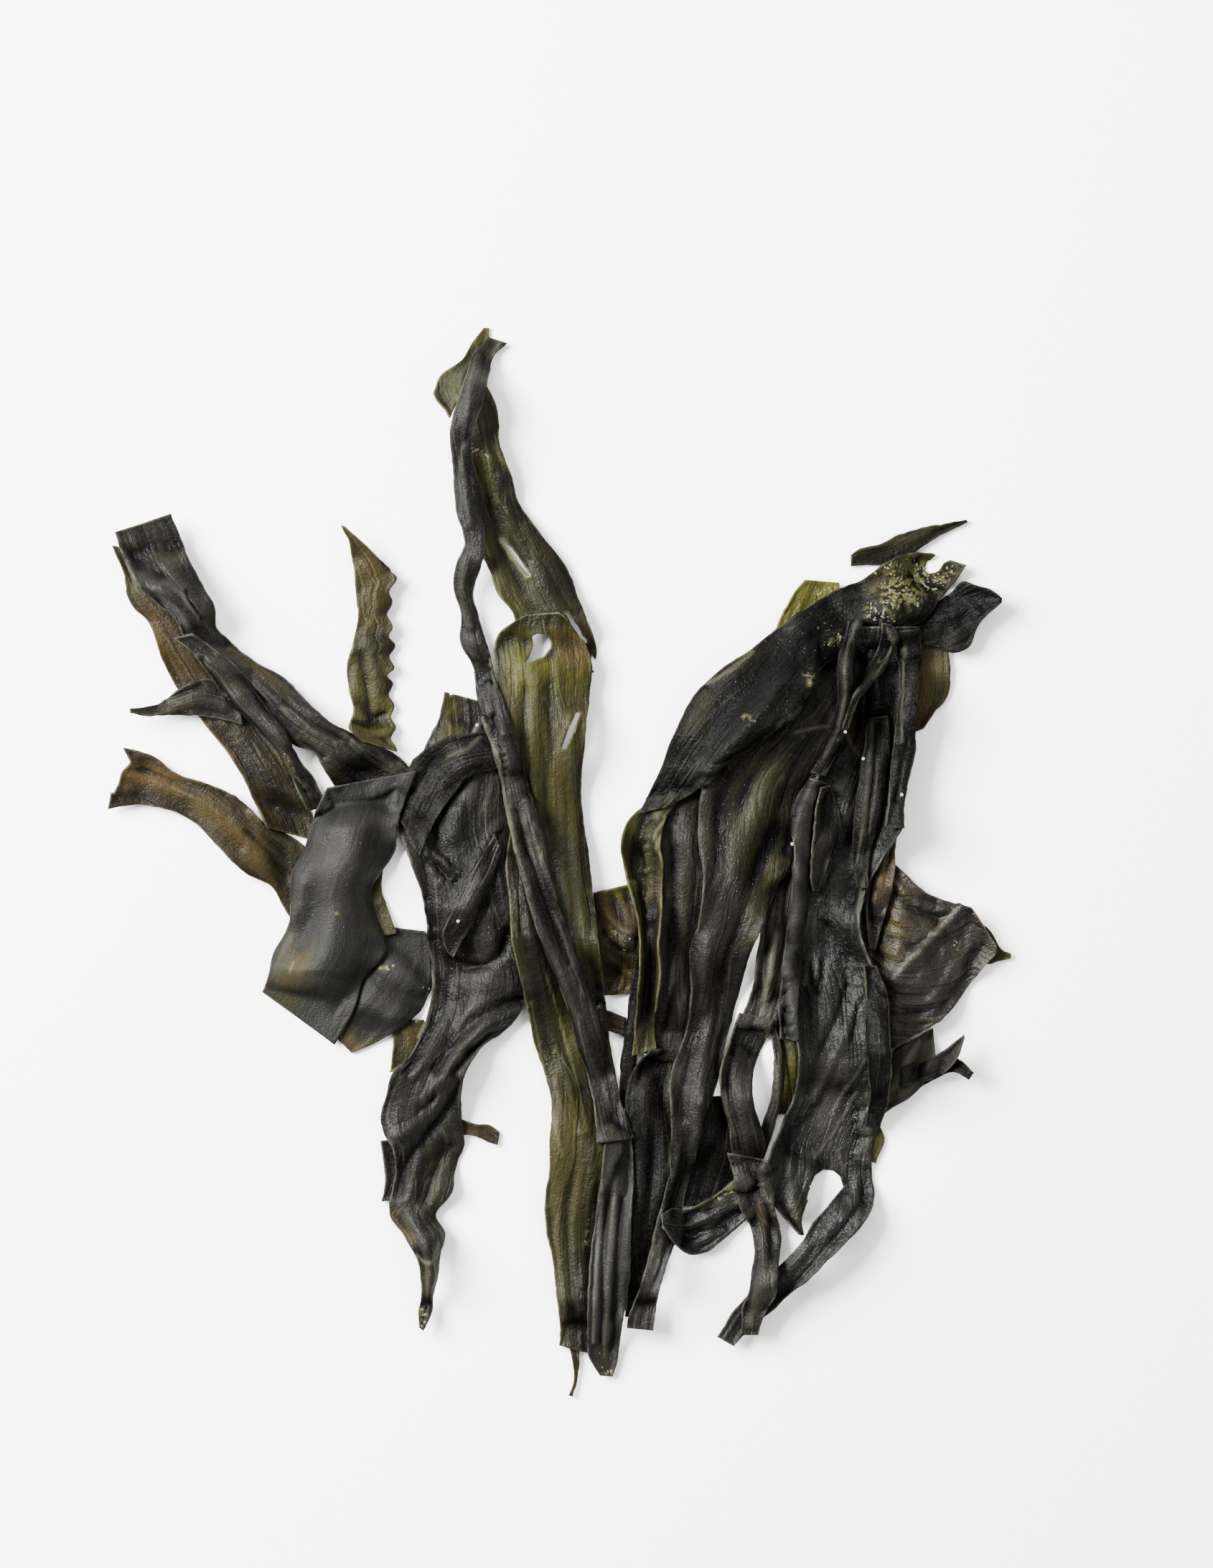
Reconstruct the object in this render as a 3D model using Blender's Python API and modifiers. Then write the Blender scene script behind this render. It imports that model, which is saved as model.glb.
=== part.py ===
"""Clump of dried kombu: leathery fronds dried over and around one another.

Each frond is a thin blade. Its outline is a list of rungs, the pairs of points where a line across
the blade meets its two edges. The blades are laid in order, lowest first, and each one drapes over
whatever already lies under it. Sizes in the tables are millimetres, seen from above.
"""
import math
from dataclasses import dataclass

import bmesh
import bpy
import numpy as np

MM = 0.001
THICKNESS = 1.0
LAYER_GAP = 0.32
LAYOUT_CENTRE = (0.0, -0.25)
STATION_PITCH = 7.2
CELL_WIDTH = 6.8
MIN_CELLS = 2
MAX_CELLS = 7
MIN_STATIONS = 3
MIN_WIDTH = 1.6
FIELD_CELL = 1.0
FIELD_HALF = 250.0
CLEAR_RADIUS = 1
DRAPE_ROUNDS = 3
SETTLE_ROUNDS = 18
PRESS_RADII = (26.0, 19.0, 14.0, 11.0, 9.0, 7.5)
PRESS_CORE = 0.35
OPEN_STEP = 0.25
NOTHING = -1
SAMPLE_PITCH = 0.6
FLAT_END = 9.0
FADE_LENGTH = 14.0
LIFT_LENGTH = 26.0
WELD_DISTANCE = 0.00001
SEED = 41

COLOURS = {
    "charcoal": (0.022, 0.023, 0.018),
    "olive": (0.062, 0.062, 0.018),
    "yellow_green": (0.190, 0.185, 0.020),
    "brown": (0.080, 0.050, 0.022),
    "red_brown": (0.085, 0.028, 0.018),
    "grey": (0.050, 0.052, 0.046),
}
ROUGHNESS = {
    "charcoal": 0.55,
    "olive": 0.50,
    "yellow_green": 0.48,
    "brown": 0.55,
    "red_brown": 0.50,
    "grey": 0.62,
}


@dataclass(frozen=True)
class Relief:
    """Heights in millimetres that a blade's own form adds over what it lies on."""

    crown: float = 2.0
    cup: float = 0.0
    ridges: float = 0.0
    ridge_height: float = 0.0
    ruffle: float = 1.6
    ruffle_pitch: float = 34.0
    sway: float = 2.4
    sway_pitch: float = 84.0
    lift_start: float = 0.0
    lift_end: float = 0.0


@dataclass(frozen=True)
class Strip:
    """A run of rungs, and the part of the blade's width that it covers."""

    rungs: tuple
    across_from: float = 0.0
    across_to: float = 1.0
    cells: int = 0


@dataclass(frozen=True)
class Blade:
    """One frond or strap: its node name, colour, relief and strips."""

    name: str
    colour: str
    relief: Relief
    strips: tuple
    pitch: float = STATION_PITCH
    scallop: float = 0.0
    scallop_pitch: float = 8.5


FLAT = Relief(crown=0.8, ruffle=0.6, sway=0.6)
STRAP = Relief(crown=3.0, ruffle=2.0, sway=3.4, lift_start=3.0)
FOLDED = Relief(crown=5.4, ruffle=0.6, sway=2.4)
TUBE = Relief(crown=3.4, ruffle=0.0, sway=1.0)
THIN_FOLD = Relief(crown=2.8, ruffle=0.0, sway=0.8)
TONGUE = Relief(crown=1.8, ruffle=1.4, sway=1.0, lift_start=8.0)
SCOOP = Relief(crown=0.0, cup=5.5, ruffle=1.0)
LEAF = Relief(crown=2.6, ridges=2.0, ridge_height=2.8, ruffle=2.8, ruffle_pitch=38.0, sway=3.6)
FROND = Relief(
    crown=4.0, ridges=2.0, ridge_height=4.6, ruffle=3.2, ruffle_pitch=44.0, sway=5.5, lift_end=5.0)
PALM = Relief(
    crown=1.5, cup=4.6, ridges=3.0, ridge_height=4.0, ruffle=2.4, ruffle_pitch=48.0, sway=4.5,
    lift_end=4.0)
WRINKLED = Relief(crown=2.4, ridges=2.0, ridge_height=2.8, ruffle=2.8)
GREAT = Relief(
    crown=5.5, ridges=2.0, ridge_height=4.8, ruffle=3.0, sway=8.0, sway_pitch=120.0, lift_start=6.0)
RIBBON = Relief(crown=3.2, ruffle=1.8, sway=6.0, sway_pitch=64.0)
FLAP = Relief(crown=5.5, ridges=2.0, ridge_height=3.4, ruffle=3.6, lift_end=5.0)
UPPER_STRAP = Relief(crown=5.6, ruffle=3.4, ridges=1.0, ridge_height=2.0, sway=6.0, lift_start=7.0)
SCALLOPED = Relief(crown=2.8, ruffle=2.2, ruffle_pitch=17.0, lift_start=9.0)
SMOOTH_FOLD = Relief(crown=11.0, ruffle=0.6, sway=3.0)
LONG_BLADE = Relief(
    crown=3.2, ridges=1.5, ridge_height=3.4, ruffle=2.8, ruffle_pitch=46.0, sway=6.0)
RIBBED = Relief(crown=1.8, ridges=2.0, ridge_height=1.8, ruffle=0.6)
STANDING = Relief(crown=6.0, ruffle=0.0, sway=1.0)


def one_strip(*rungs):
    """Return the strips of a plain blade."""
    return (Strip(rungs),)


PALM_STRIPS = (
    Strip((
        (124, 98, 150, 98), (120, 86, 150, 84), (118, 72, 147, 70), (117, 60, 146.5, 58),
        (113, 48, 147.5, 48), (107, 36, 145, 36), (103, 26, 143, 26), (99, 14, 142.5, 15),
        (98, 0, 135, 2), (97, -14, 127, -14), (96, -28, 125, -28), (95, -42, 130, -42),
        (97, -56, 136, -56), (98, -70, 136.5, -70), (99, -84, 137.3, -84), (97, -98, 137, -97),
        (92, -110, 133, -110), (87, -122, 130, -121), (85, -128, 130.5, -131),
    ), cells=6),
    Strip((
        (85, -128, 107.75, -129.5), (86, -137, 104.5, -137), (91, -145, 101.5, -145),
        (96, -151, 100.5, -151), (99.5, -155, 101.2, -155.3),
    ), 0.0, 0.5, 3),
    Strip((
        (107.75, -129.5, 130.5, -131), (108.5, -141, 131, -141), (106.5, -147.5, 127, -150),
        (103, -154.5, 119, -158), (98, -162, 111, -166), (92, -168, 104, -173.5),
        (86, -174, 95.5, -180), (80, -178.5, 90, -186), (75, -184, 85, -190),
        (70, -191, 78, -196), (65.5, -198, 72.5, -202),
    ), 0.5, 1.0, 3),
)

# Thin brown pieces that lie lowest in the middle.
UNDER_BLADES = (
    Blade("base_wisp", "brown", FLAT, one_strip(
        (4, -202, 8, -203), (5.5, -210, 8, -210), (5.8, -217, 7.6, -217), (4, -223, 5.6, -223.5))),
    Blade("brown_cross_strip", "brown", FLAT, one_strip(
        (17, -61, 18, -70), (28, -65, 27, -73)), pitch=5.0),
    Blade("brown_web", "brown", LEAF, one_strip(
        (14, -13, 30, -9), (15, -25, 35, -27), (17, -40, 32, -42), (18, -56, 29, -55))),
)

# Straps that fan out to the left, and the frond at the lower left.
LEFT_BLADES = (
    Blade("left_brown_strap", "brown", STRAP, one_strip(
        (-184, 48, -188.5, 22), (-172, 45, -175, 23.5), (-160, 37, -160, 20.5), (-149, 33.5, -150, 15),
        (-140, 30, -143, 7), (-130, 23, -132, -4), (-122, 15, -121, -10), (-110, 9, -115, -20),
        (-104, 4, -112, -24))),
    Blade("left_side_spur", "brown", FLAT, one_strip(
        (-52, -107, -52, -114), (-43, -107, -43, -114), (-35, -109.5, -36, -114.5), (-29, -110, -30, -117),
        (-25, -113, -26, -118.5)), pitch=5.0),
    Blade("left_edge_sliver", "charcoal", FLAT, one_strip(
        (-75, -116.5, -62, -115), (-74, -125, -60, -123), (-73, -134, -60, -133),
        (-74.5, -142, -66, -141))),
    Blade("left_olive_underpiece", "olive", FLAT, one_strip(
        (-70, -66, -57, -66), (-69.5, -75, -54, -74), (-70, -82, -55, -80), (-71, -88, -60, -87)),
        pitch=6.0),
    Blade("left_under_strap", "brown", STRAP, one_strip(
        (-187, 132, -176, 130), (-182, 120, -168, 118), (-179, 108, -160, 110), (-171.5, 100, -150, 100),
        (-167, 88, -145, 88), (-163, 78, -138, 76), (-155, 66, -130, 62), (-148, 57, -122, 52),
        (-140, 47, -115, 42), (-132, 35, -110, 30), (-126, 22, -104, 20), (-122, 14, -100, 8))),
    Blade("left_side_tongue", "charcoal", TONGUE, one_strip(
        (-179, 63.6, -178.8, 62), (-172, 64.5, -171, 60.5), (-166, 66.5, -164, 61.5),
        (-159, 72, -156, 61), (-150, 76, -151, 61), (-142, 75, -140, 59), (-134, 68, -132, 57)),
        pitch=7.0),
    Blade("left_upper_strap", "charcoal", UPPER_STRAP, one_strip(
        (-185, 137, -162, 145), (-183, 131, -157.5, 134), (-178, 120, -155, 127), (-170, 110, -148, 114),
        (-160, 102, -143, 104), (-157, 96, -143, 98), (-150, 88, -137, 91), (-141, 80, -128, 83.5),
        (-132, 68, -116, 77), (-122, 58, -107, 68), (-112, 50, -98, 60), (-102, 45, -88, 54),
        (-97, 37, -78, 49), (-92, 30, -69, 45), (-80, 28, -60, 36))),
    Blade("scalloped_strap", "olive", SCALLOPED, one_strip(
        (-90.8, 140, -89, 139.5), (-87.5, 132, -82, 133), (-86, 123, -73.5, 124.5), (-85, 115, -69, 119),
        (-84.5, 107, -71, 109.5), (-84.5, 99, -70.5, 97.5), (-86.5, 90, -70, 90), (-88.5, 83, -70, 81),
        (-88, 73, -71, 75), (-86.5, 62, -69.5, 61.5), (-88, 56, -69.3, 55), (-82, 50, -69, 46)),
        pitch=4.2, scallop=1.1),
    Blade("left_folded_ribbon", "charcoal", FOLDED, one_strip(
        (-160, 93, -152, 95), (-151, 85, -140, 86), (-146, 79, -131, 77), (-142, 72, -126, 70),
        (-136, 65, -120, 62), (-130, 60, -114, 54), (-124, 53, -111, 48), (-117, 46, -108, 41),
        (-113, 38, -103, 35), (-109, 29, -99, 28), (-105, 21, -97, 23))),
    Blade("left_curled_fold", "charcoal", FOLDED, one_strip(
        (-93, -74, -87, -80), (-92, -66, -78, -76), (-88, -58, -68, -70), (-84, -48, -58, -62),
        (-80, -40, -54, -52), (-76, -33, -54, -40), (-73, -27, -56, -29))),
    Blade("lower_left_frond", "charcoal", FROND, one_strip(
        (-48, 71, -33, 67), (-51, 58, -28, 58), (-57, 46, -24, 46), (-63, 30, -20, 34),
        (-67, 15, -18, 20), (-63, 2, -17, 5), (-58, -12, -15, -10), (-56, -22, -14, -25),
        (-55, -35, -13, -40), (-53, -50, -13, -52), (-56, -66, -16, -62), (-62, -80, -24, -71),
        (-70, -89, -33, -78), (-72, -97, -39, -88), (-74, -105, -41, -98), (-73, -112, -41, -108),
        (-69, -120, -40, -117), (-69, -130, -44, -129), (-71, -141, -45, -138), (-70, -149, -52, -147),
        (-65, -156, -48, -155), (-60, -164, -50, -163), (-57.5, -173, -51, -172), (-57, -181, -53, -181),
        (-59, -187, -53, -187.5), (-58.5, -194, -56.8, -195.5))),
    Blade("saddle_band", "charcoal", STRAP, one_strip(
        (-69, 22, -58, 2), (-66, 32, -50, 20), (-60, 44, -44, 28), (-46, 52, -38, 35),
        (-34, 54, -30, 38), (-24, 54, -22, 40)), pitch=5.2),
    Blade("left_leaf_lip", "charcoal", THIN_FOLD, one_strip(
        (-27, 12, -24, 5), (-33, 1, -27, -4), (-40, -12, -32, -17), (-46, -23, -37, -27),
        (-49, -31, -41, -34), (-46.5, -38, -44, -40)), pitch=5.2),
    Blade("thin_olive_strip", "olive", THIN_FOLD, one_strip(
        (-81, -4, -74, -3), (-80.5, -15, -74, -13), (-78, -22, -71.5, -20), (-74, -31, -68, -30)),
        pitch=7.0),
    Blade("smooth_dark_fold", "charcoal", SMOOTH_FOLD, one_strip(
        (-97, 31, -59.5, 38), (-101, 23, -64, 27), (-104, 15, -67, 17), (-106, 6, -69, 5), (-112, -7, -76, -6),
        (-112, -18, -80, -14), (-113.5, -28, -76, -26), (-119, -37, -72.5, -37), (-121, -46, -82, -49),
        (-123.5, -52, -85, -60), (-124.5, -54.5, -94, -76.5))),
)

# Flaps and spikes that stick out on the right.
RIGHT_BLADES = (
    Blade("yellow_green_corner", "yellow_green", FLAT, one_strip(
        (90, 97, 112, 100), (94, 106, 116, 108), (98, 112.5, 116.8, 114), (102.5, 117.8, 116.5, 116.5))),
    Blade("small_chip", "grey", FLAT, one_strip(
        (121.5, 128, 121.5, 123), (125, 130.5, 125.5, 123.5), (133, 132.5, 133, 123.8),
        (142, 136.5, 142, 125), (152, 139.5, 152, 132), (162, 141.5, 162, 137.5),
        (170, 143, 170.5, 141.4)), pitch=7.0),
    Blade("flap_olive_tip", "olive", FLAT, one_strip(
        (166, -22, 166, -42), (173, -25, 173, -42), (180, -29, 180, -43), (184, -36, 183, -41.8),
        (188.5, -38.6, 188.4, -40.6)), pitch=6.0),
    Blade("small_olive_scrap", "olive", FLAT, one_strip(
        (128, -108, 133.5, -110), (128, -117, 135.5, -117), (126, -124, 132, -126)), pitch=6.0),
    Blade("curled_black_tip", "charcoal", TONGUE, one_strip(
        (172.5, -87.5, 170.5, -90.5), (165, -82, 164, -87.5), (158, -84, 157, -90.5),
        (150, -87, 148, -96), (143, -88, 141, -100)), pitch=6.0),
    Blade("side_frond", "charcoal", LEAF, one_strip(
        (128, -88, 127, -112), (143, -77, 140, -102), (150, -73, 150, -95), (156, -69.5, 156.8, -82)),
        pitch=6.0),
    Blade("side_spike", "charcoal", TONGUE, one_strip(
        (168, -71.5, 168.5, -73.2), (163, -75.5, 165, -82), (158, -79.5, 160, -88),
        (150, -84, 150, -92), (142, -85, 142, -94)), pitch=6.0),
    Blade("right_flap", "red_brown", FLAP, one_strip(
        (126, 4, 122, -60), (141, -2, 138, -78), (150, -11, 150, -71), (157, -15, 160, -65),
        (164, -17.5, 166, -58), (172, -19.5, 174, -48), (178, -29, 178, -42.5), (182, -35, 182, -38.5)),
        pitch=6.0),
    Blade("brown_wedge", "red_brown", THIN_FOLD, one_strip(
        (131, 6, 140.5, 11), (127.5, -2, 140, 1), (127, -14, 138.5, -11), (127.5, -26, 135, -24),
        (129, -36, 131.5, -37))),
    Blade("brown_flap", "brown", FLAT, one_strip(
        (149, 94, 163, 98), (148.5, 84, 162.5, 88), (147, 75, 163, 78), (146, 66, 162, 69),
        (145.5, 60, 157, 63), (146, 53, 152, 55.5)), pitch=7.0),
    Blade("dark_curled_end", "charcoal", TONGUE, one_strip(
        (184.2, 110, 184, 107.8), (180, 113, 178, 102.5), (174, 115, 174, 97.5), (168, 117, 171, 90),
        (163, 112, 164, 87), (156, 107, 158, 89), (150, 103, 152, 90), (145, 99.5, 146, 88)),
        pitch=6.5),
)

# Broad blades and narrow straps between the middle and the palm.
INNER_BLADES = (
    Blade("narrow_inner_strap", "charcoal", THIN_FOLD, one_strip(
        (33, -31, 39, -31), (31, -45, 37, -45), (29, -60, 35, -60), (27, -75, 32.5, -75),
        (25, -92, 31, -90), (25, -102, 30, -104))),
    Blade("scoop_edge_strap", "charcoal", STRAP, one_strip(
        (43, 20, 62, 27), (38.5, 13, 62, 14), (37.5, 5, 62, 4), (38.5, -3, 64, -4), (38.5, -13, 63, -14),
        (38, -23, 61, -24), (38, -33.5, 60, -34), (38, -45, 59, -45), (37, -60, 58, -60),
        (35, -80, 56, -82)), pitch=5.4),
    Blade("olive_scoop", "olive", SCOOP, one_strip(
        (38, 25.5, 50, 27), (29, 18, 45, 19), (25.3, 8, 42, 8), (26.5, -2, 43, 0), (29, -12, 43, -12),
        (31.5, -21, 43, -22), (33, -31, 41.5, -33), (33, -44, 42.5, -44), (32, -57, 41, -58),
        (31, -70, 39.5, -67), (30, -81, 40.5, -78)), pitch=5.4),
    Blade("lower_inner_strap", "charcoal", LEAF, one_strip(
        (38, -78, 50, -78), (30, -88, 47, -88), (27.5, -98, 46, -98), (28, -112, 47, -112),
        (30, -128, 46.5, -128), (30.5, -142, 43, -141), (29.5, -156, 41, -155), (28, -175, 38.5, -175),
        (27, -190, 36, -191))),
    Blade("yellow_patch_strap", "olive", FLAT, one_strip(
        (89, -64, 101, -65), (89.5, -80, 103, -80), (89.5, -92, 103.5, -92), (87, -106, 103, -104)),
        pitch=7.0),
    Blade("thin_side_strap", "charcoal", THIN_FOLD, one_strip(
        (88, -69, 90.5, -69.5), (89, -78, 92.5, -78), (89.5, -88, 93, -88), (88.5, -98, 92, -98.5),
        (85.5, -108, 89.5, -109.5), (82, -118, 86.5, -120), (79, -126, 83, -129)), pitch=6.0),
    Blade("side_strap", "charcoal", STRAP, one_strip(
        (91, -2, 98, -3), (87.5, -15, 97, -15), (84.5, -27, 96, -28), (82, -40, 95, -40),
        (81, -50, 93.5, -52), (78, -59, 92.5, -60), (75, -67, 90, -68))),
    Blade("lower_under_blade", "charcoal", STRAP, one_strip(
        (60, -98, 75, -97), (59, -112, 77, -110), (56, -122, 77, -122), (53, -132, 76, -131),
        (49, -144, 74, -143))),
    Blade("broad_middle_blade", "charcoal", FROND, one_strip(
        (105, 91, 121, 95), (97, 78, 122, 81), (85, 62, 121, 66), (75, 50, 118, 58), (67, 42, 112, 48), (60, 32, 106, 37), (58, 20, 99.5, 22),
        (58, 8, 97, 9), (59.5, -4, 94, -2), (59, -15, 89, -14), (57.5, -26, 84.5, -26),
        (54.5, -38, 79, -38), (54.5, -50, 75.5, -50), (54, -62, 72.5, -62), (51, -76, 69, -77),
        (46, -88, 66, -90), (46, -102, 62, -101), (47, -115, 58, -115), (46, -128, 55.5, -127),
        (43, -140, 52, -140), (40, -152, 50, -152), (37, -165, 45, -165), (33, -178, 41.5, -177),
        (29, -188, 40, -188), (28, -194, 39, -195))),
    Blade("great_blade", "grey", GREAT, one_strip(
        (155, 129, 170, 123.5), (145, 128.5, 160, 111), (136, 124.5, 150, 104), (127, 118, 138, 98),
        (115, 113, 127, 90), (103, 106, 117, 86), (92, 98, 108, 80), (80, 88.5, 103, 70),
        (68, 80.5, 98, 61), (58, 71.5, 90, 55), (51, 61, 81, 49.5), (46, 50, 72, 43),
        (42, 38, 63, 36), (37, 28, 57, 30), (33, 20, 46, 23))),
    Blade("wrinkled_scrap", "charcoal", WRINKLED, one_strip(
        (42, -147, 42.5, -151), (46, -144.5, 47, -158), (53, -145, 54, -163.5), (60, -141.5, 61, -163),
        (66, -138, 67.5, -158.5), (73, -132.5, 74, -153), (80, -128, 80, -147)), pitch=6.5),
    Blade("lower_blade", "charcoal", LEAF, one_strip(
        (75, -63, 90, -66), (70, -76, 85, -77), (66.5, -88, 81, -86), (67.5, -98, 80.3, -98),
        (70.5, -110, 83, -109), (71.5, -120, 86, -120), (73, -128, 83.5, -127), (76.5, -135, 80.5, -134.6))),
)

# The long blades of the middle frond.
MIDDLE_BLADES = (
    Blade("top_olive_blade", "olive", LEAF, one_strip(
        (-32, 223, -29.5, 223), (-37, 216, -30, 217), (-42, 208, -33, 208), (-50, 202, -33, 202),
        (-52.5, 196, -30, 198), (-48, 188, -26.5, 190), (-44, 181, -25.5, 182), (-41, 175, -25.5, 175),
        (-39.5, 168, -23, 168), (-38, 160, -20, 160), (-37, 150, -17.5, 150), (-36, 142, -12, 142),
        (-34, 134, -6, 134), (-32, 127, 1, 126), (-28.5, 119, 5, 118), (-25.5, 111, 7.5, 110),
        (-20, 104, 10.5, 103), (-18, 97, 13.5, 96), (-15, 89, 15.5, 88), (-10, 79, 14.5, 79))),
    Blade("long_olive_blade", "olive", LONG_BLADE, one_strip(
        (-14, 103, 0, 104), (-23, 97.5, 7, 98), (-27, 92, 11, 90), (-27, 84, 13.5, 82),
        (-26, 76, 13, 74), (-25, 65, 12, 65), (-22, 50, 10.5, 50), (-20, 35, 9, 35), (-20, 20, 9, 22),
        (-22, 5, 12, 5), (-22, -8, 13.5, -10), (-20.5, -22, 15, -23), (-19, -36, 17, -37),
        (-16, -50, 18, -50), (-13, -63, 19.5, -62), (-11, -75, 21, -75), (-6, -89, 23.5, -90),
        (-3, -101, 25, -101), (-3.5, -111, 25, -111), (-4, -120, 24, -120), (-4, -130, 20, -130),
        (-6, -143, 16.5, -142), (-5.5, -155, 14.5, -153), (-3, -166, 13, -166), (-1, -180, 14, -180),
        (0, -193, 15, -195), (-0.5, -202, 15, -206))),
    Blade("base_strap", "charcoal", RIBBED, one_strip(
        (19, -112, 30, -115), (17.5, -128, 31, -130), (15, -148, 30, -148), (12.5, -165, 29.5, -165),
        (11.5, -182, 28, -180), (11.5, -197, 25.5, -196), (12.5, -207, 24, -208), (17, -214.5, 22, -215))),
    Blade("long_dark_ribbon", "charcoal", RIBBON, one_strip(
        (-30, 219, -22, 216.5), (-36, 212, -28, 210), (-38.5, 204, -29.5, 202), (-41, 195, -31, 194),
        (-44, 184, -35, 183), (-45, 177, -37.5, 176), (-44.5, 168, -36.5, 168), (-43.5, 157, -33, 157),
        (-43, 147, -32.5, 147), (-40, 137, -31.5, 137), (-39.5, 131, -31.5, 130), (-42, 125.5, -32, 125),
        (-44, 118, -35, 118), (-43, 111, -36.5, 110.5), (-41, 103, -34.5, 103), (-41, 92, -31.5, 93),
        (-37, 83, -28.5, 84), (-35, 72, -25.5, 73), (-33, 60, -21, 60), (-28, 47, -17, 46),
        (-24, 32, -12.5, 31), (-22, 20, -9.5, 20), (-19, 8, -7, 8), (-15, -7, -3, -8),
        (-11, -22, 1.5, -22), (-6, -36, 6.5, -36), (-0.5, -49, 11.5, -49), (4, -62, 15.5, -62),
        (8, -77, 19.5, -76), (12, -92, 23, -91), (14.5, -105, 27, -104), (15.5, -117, 31, -115))),
)

# The palm with its fingers, and the folds that lie on it.
PALM_BLADES = (
    Blade("palm_with_fingers", "charcoal", PALM, PALM_STRIPS),
    Blade("palm_right_lip", "grey", THIN_FOLD, one_strip(
        (126, -42, 131.5, -43), (127, -55, 136, -55), (127, -70, 136.5, -70), (128, -85, 137.3, -85),
        (129, -98, 137, -98), (127.5, -110, 133.5, -111)), pitch=5.2),
    Blade("inner_rib_fold", "charcoal", THIN_FOLD, one_strip(
        (128, 60, 137, 61), (127, 48, 137.5, 48), (125, 36, 136, 37), (123.5, 24, 134, 24),
        (122.5, 10, 131, 11), (122, -2, 129, -1), (124, -11, 128, -11))),
    Blade("right_rib_fold", "grey", THIN_FOLD, one_strip(
        (140, 96, 150, 97), (141, 84, 150.5, 85), (141.5, 70, 148.8, 70), (140, 57, 147.5, 57),
        (138.5, 45, 147.5, 46), (137.5, 34, 144.5, 34), (136.5, 24, 143, 24), (135, 14, 142.7, 14))),
    Blade("tube_fold", "charcoal", TUBE, one_strip(
        (104, 35, 111, 33), (99.5, 28, 107, 27), (97.5, 18, 104.5, 19), (97, 6, 103.5, 6),
        (97, -7, 103, -7), (96, -20, 103, -20), (94, -35, 101, -35), (92.5, -50, 99.5, -50),
        (91, -62, 99, -63), (92, -74, 99.5, -74)), pitch=5.2),
    Blade("spindle_fold", "charcoal", THIN_FOLD, one_strip(
        (108, 31, 112.5, 32), (106, 22, 116, 22), (105, 12, 117, 13), (104, 2, 113, 2),
        (103.8, -6, 110, -5), (105, -12, 107.5, -12)), pitch=5.2),
    Blade("standing_fold", "charcoal", STANDING, one_strip(
        (120.5, 101, 126.5, 100), (117, 89, 123, 90), (115.5, 80, 121.5, 80), (116, 68, 121.5, 68),
        (113, 55, 119, 56), (108, 43, 114.5, 43), (104, 37, 110.5, 35.5))),
    Blade("grey_leaf_fold", "grey", TUBE, one_strip(
        (134, 99.5, 138, 98.5), (133.5, 93, 141, 94), (131, 86, 139.5, 88), (127.5, 79, 135, 80.5),
        (124.5, 73, 130, 75), (120.5, 67.5, 124.5, 69), (118.5, 61, 122, 62), (117, 55, 119.8, 55)),
        pitch=4.6),
    Blade("hanging_strap", "charcoal", STRAP, one_strip(
        (70, -121, 87, -124), (73, -133, 89, -135), (75, -144, 89.5, -144), (80, -153, 92, -153), (81.5, -162, 91.8, -161),
        (80, -170, 90.5, -171), (79, -178, 89.5, -179), (76, -186, 86, -187), (75.5, -192, 84, -192),
        (75, -197, 82.5, -197))),
)

BLADES = UNDER_BLADES + LEFT_BLADES + RIGHT_BLADES + INNER_BLADES + MIDDLE_BLADES + PALM_BLADES


class HeightField:
    """The top of everything laid so far, on a square grid of cells."""

    def __init__(self):
        count = int(2 * FIELD_HALF / FIELD_CELL)
        self.top = np.zeros((count, count))
        self.owner = np.full((count, count), NOTHING)

    def cells(self, points):
        """Return the grid cells that hold the points."""
        index = ((points[:, :2] + FIELD_HALF) / FIELD_CELL).astype(int)
        return index[:, 0], index[:, 1]

    def add(self, points, owner):
        """Raise the field to the given points, and note which blade is on top there."""
        before = self.top.copy()
        np.maximum.at(self.top, self.cells(points), points[:, 2])
        self.owner[self.top > before] = owner

    def least_height(self):
        """Return the least height at which a new blade clears what is there."""
        spread = self.top.copy()
        for dx in range(-CLEAR_RADIUS, CLEAR_RADIUS + 1):
            for dy in range(-CLEAR_RADIUS, CLEAR_RADIUS + 1):
                if dx * dx + dy * dy <= CLEAR_RADIUS * CLEAR_RADIUS + 1:
                    spread = np.maximum(spread, np.roll(self.top, (dx, dy), (0, 1)))
        return np.where(spread > 0.0, spread + LAYER_GAP, 0.0)


def smooth_step(value):
    """Rise smoothly from 0 to 1."""
    clipped = np.clip(value, 0.0, 1.0)
    return clipped * clipped * (3.0 - 2.0 * clipped)


def tangents(points, knots):
    """Return the slopes of a smooth curve through the points."""
    steps = np.diff(knots)[:, None]
    chords = np.diff(points, axis=0) / steps
    slopes = np.empty_like(points)
    slopes[0] = chords[0]
    slopes[-1] = chords[-1]
    slopes[1:-1] = (chords[1:] * steps[:-1] + chords[:-1] * steps[1:]) / (steps[:-1] + steps[1:])
    return slopes


def smooth_curve(points, knots, wanted):
    """Return points of the curve through the points, at the wanted knot values."""
    slopes = tangents(points, knots)
    index = np.clip(np.searchsorted(knots, wanted, side="right") - 1, 0, len(knots) - 2)
    step = (knots[index + 1] - knots[index])[:, None]
    t = (wanted - knots[index])[:, None] / step
    start = (2 * t**3 - 3 * t**2 + 1) * points[index] + (t**3 - 2 * t**2 + t) * step * slopes[index]
    end = (3 * t**2 - 2 * t**3) * points[index + 1] + (t**3 - t**2) * step * slopes[index + 1]
    return start + end


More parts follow.
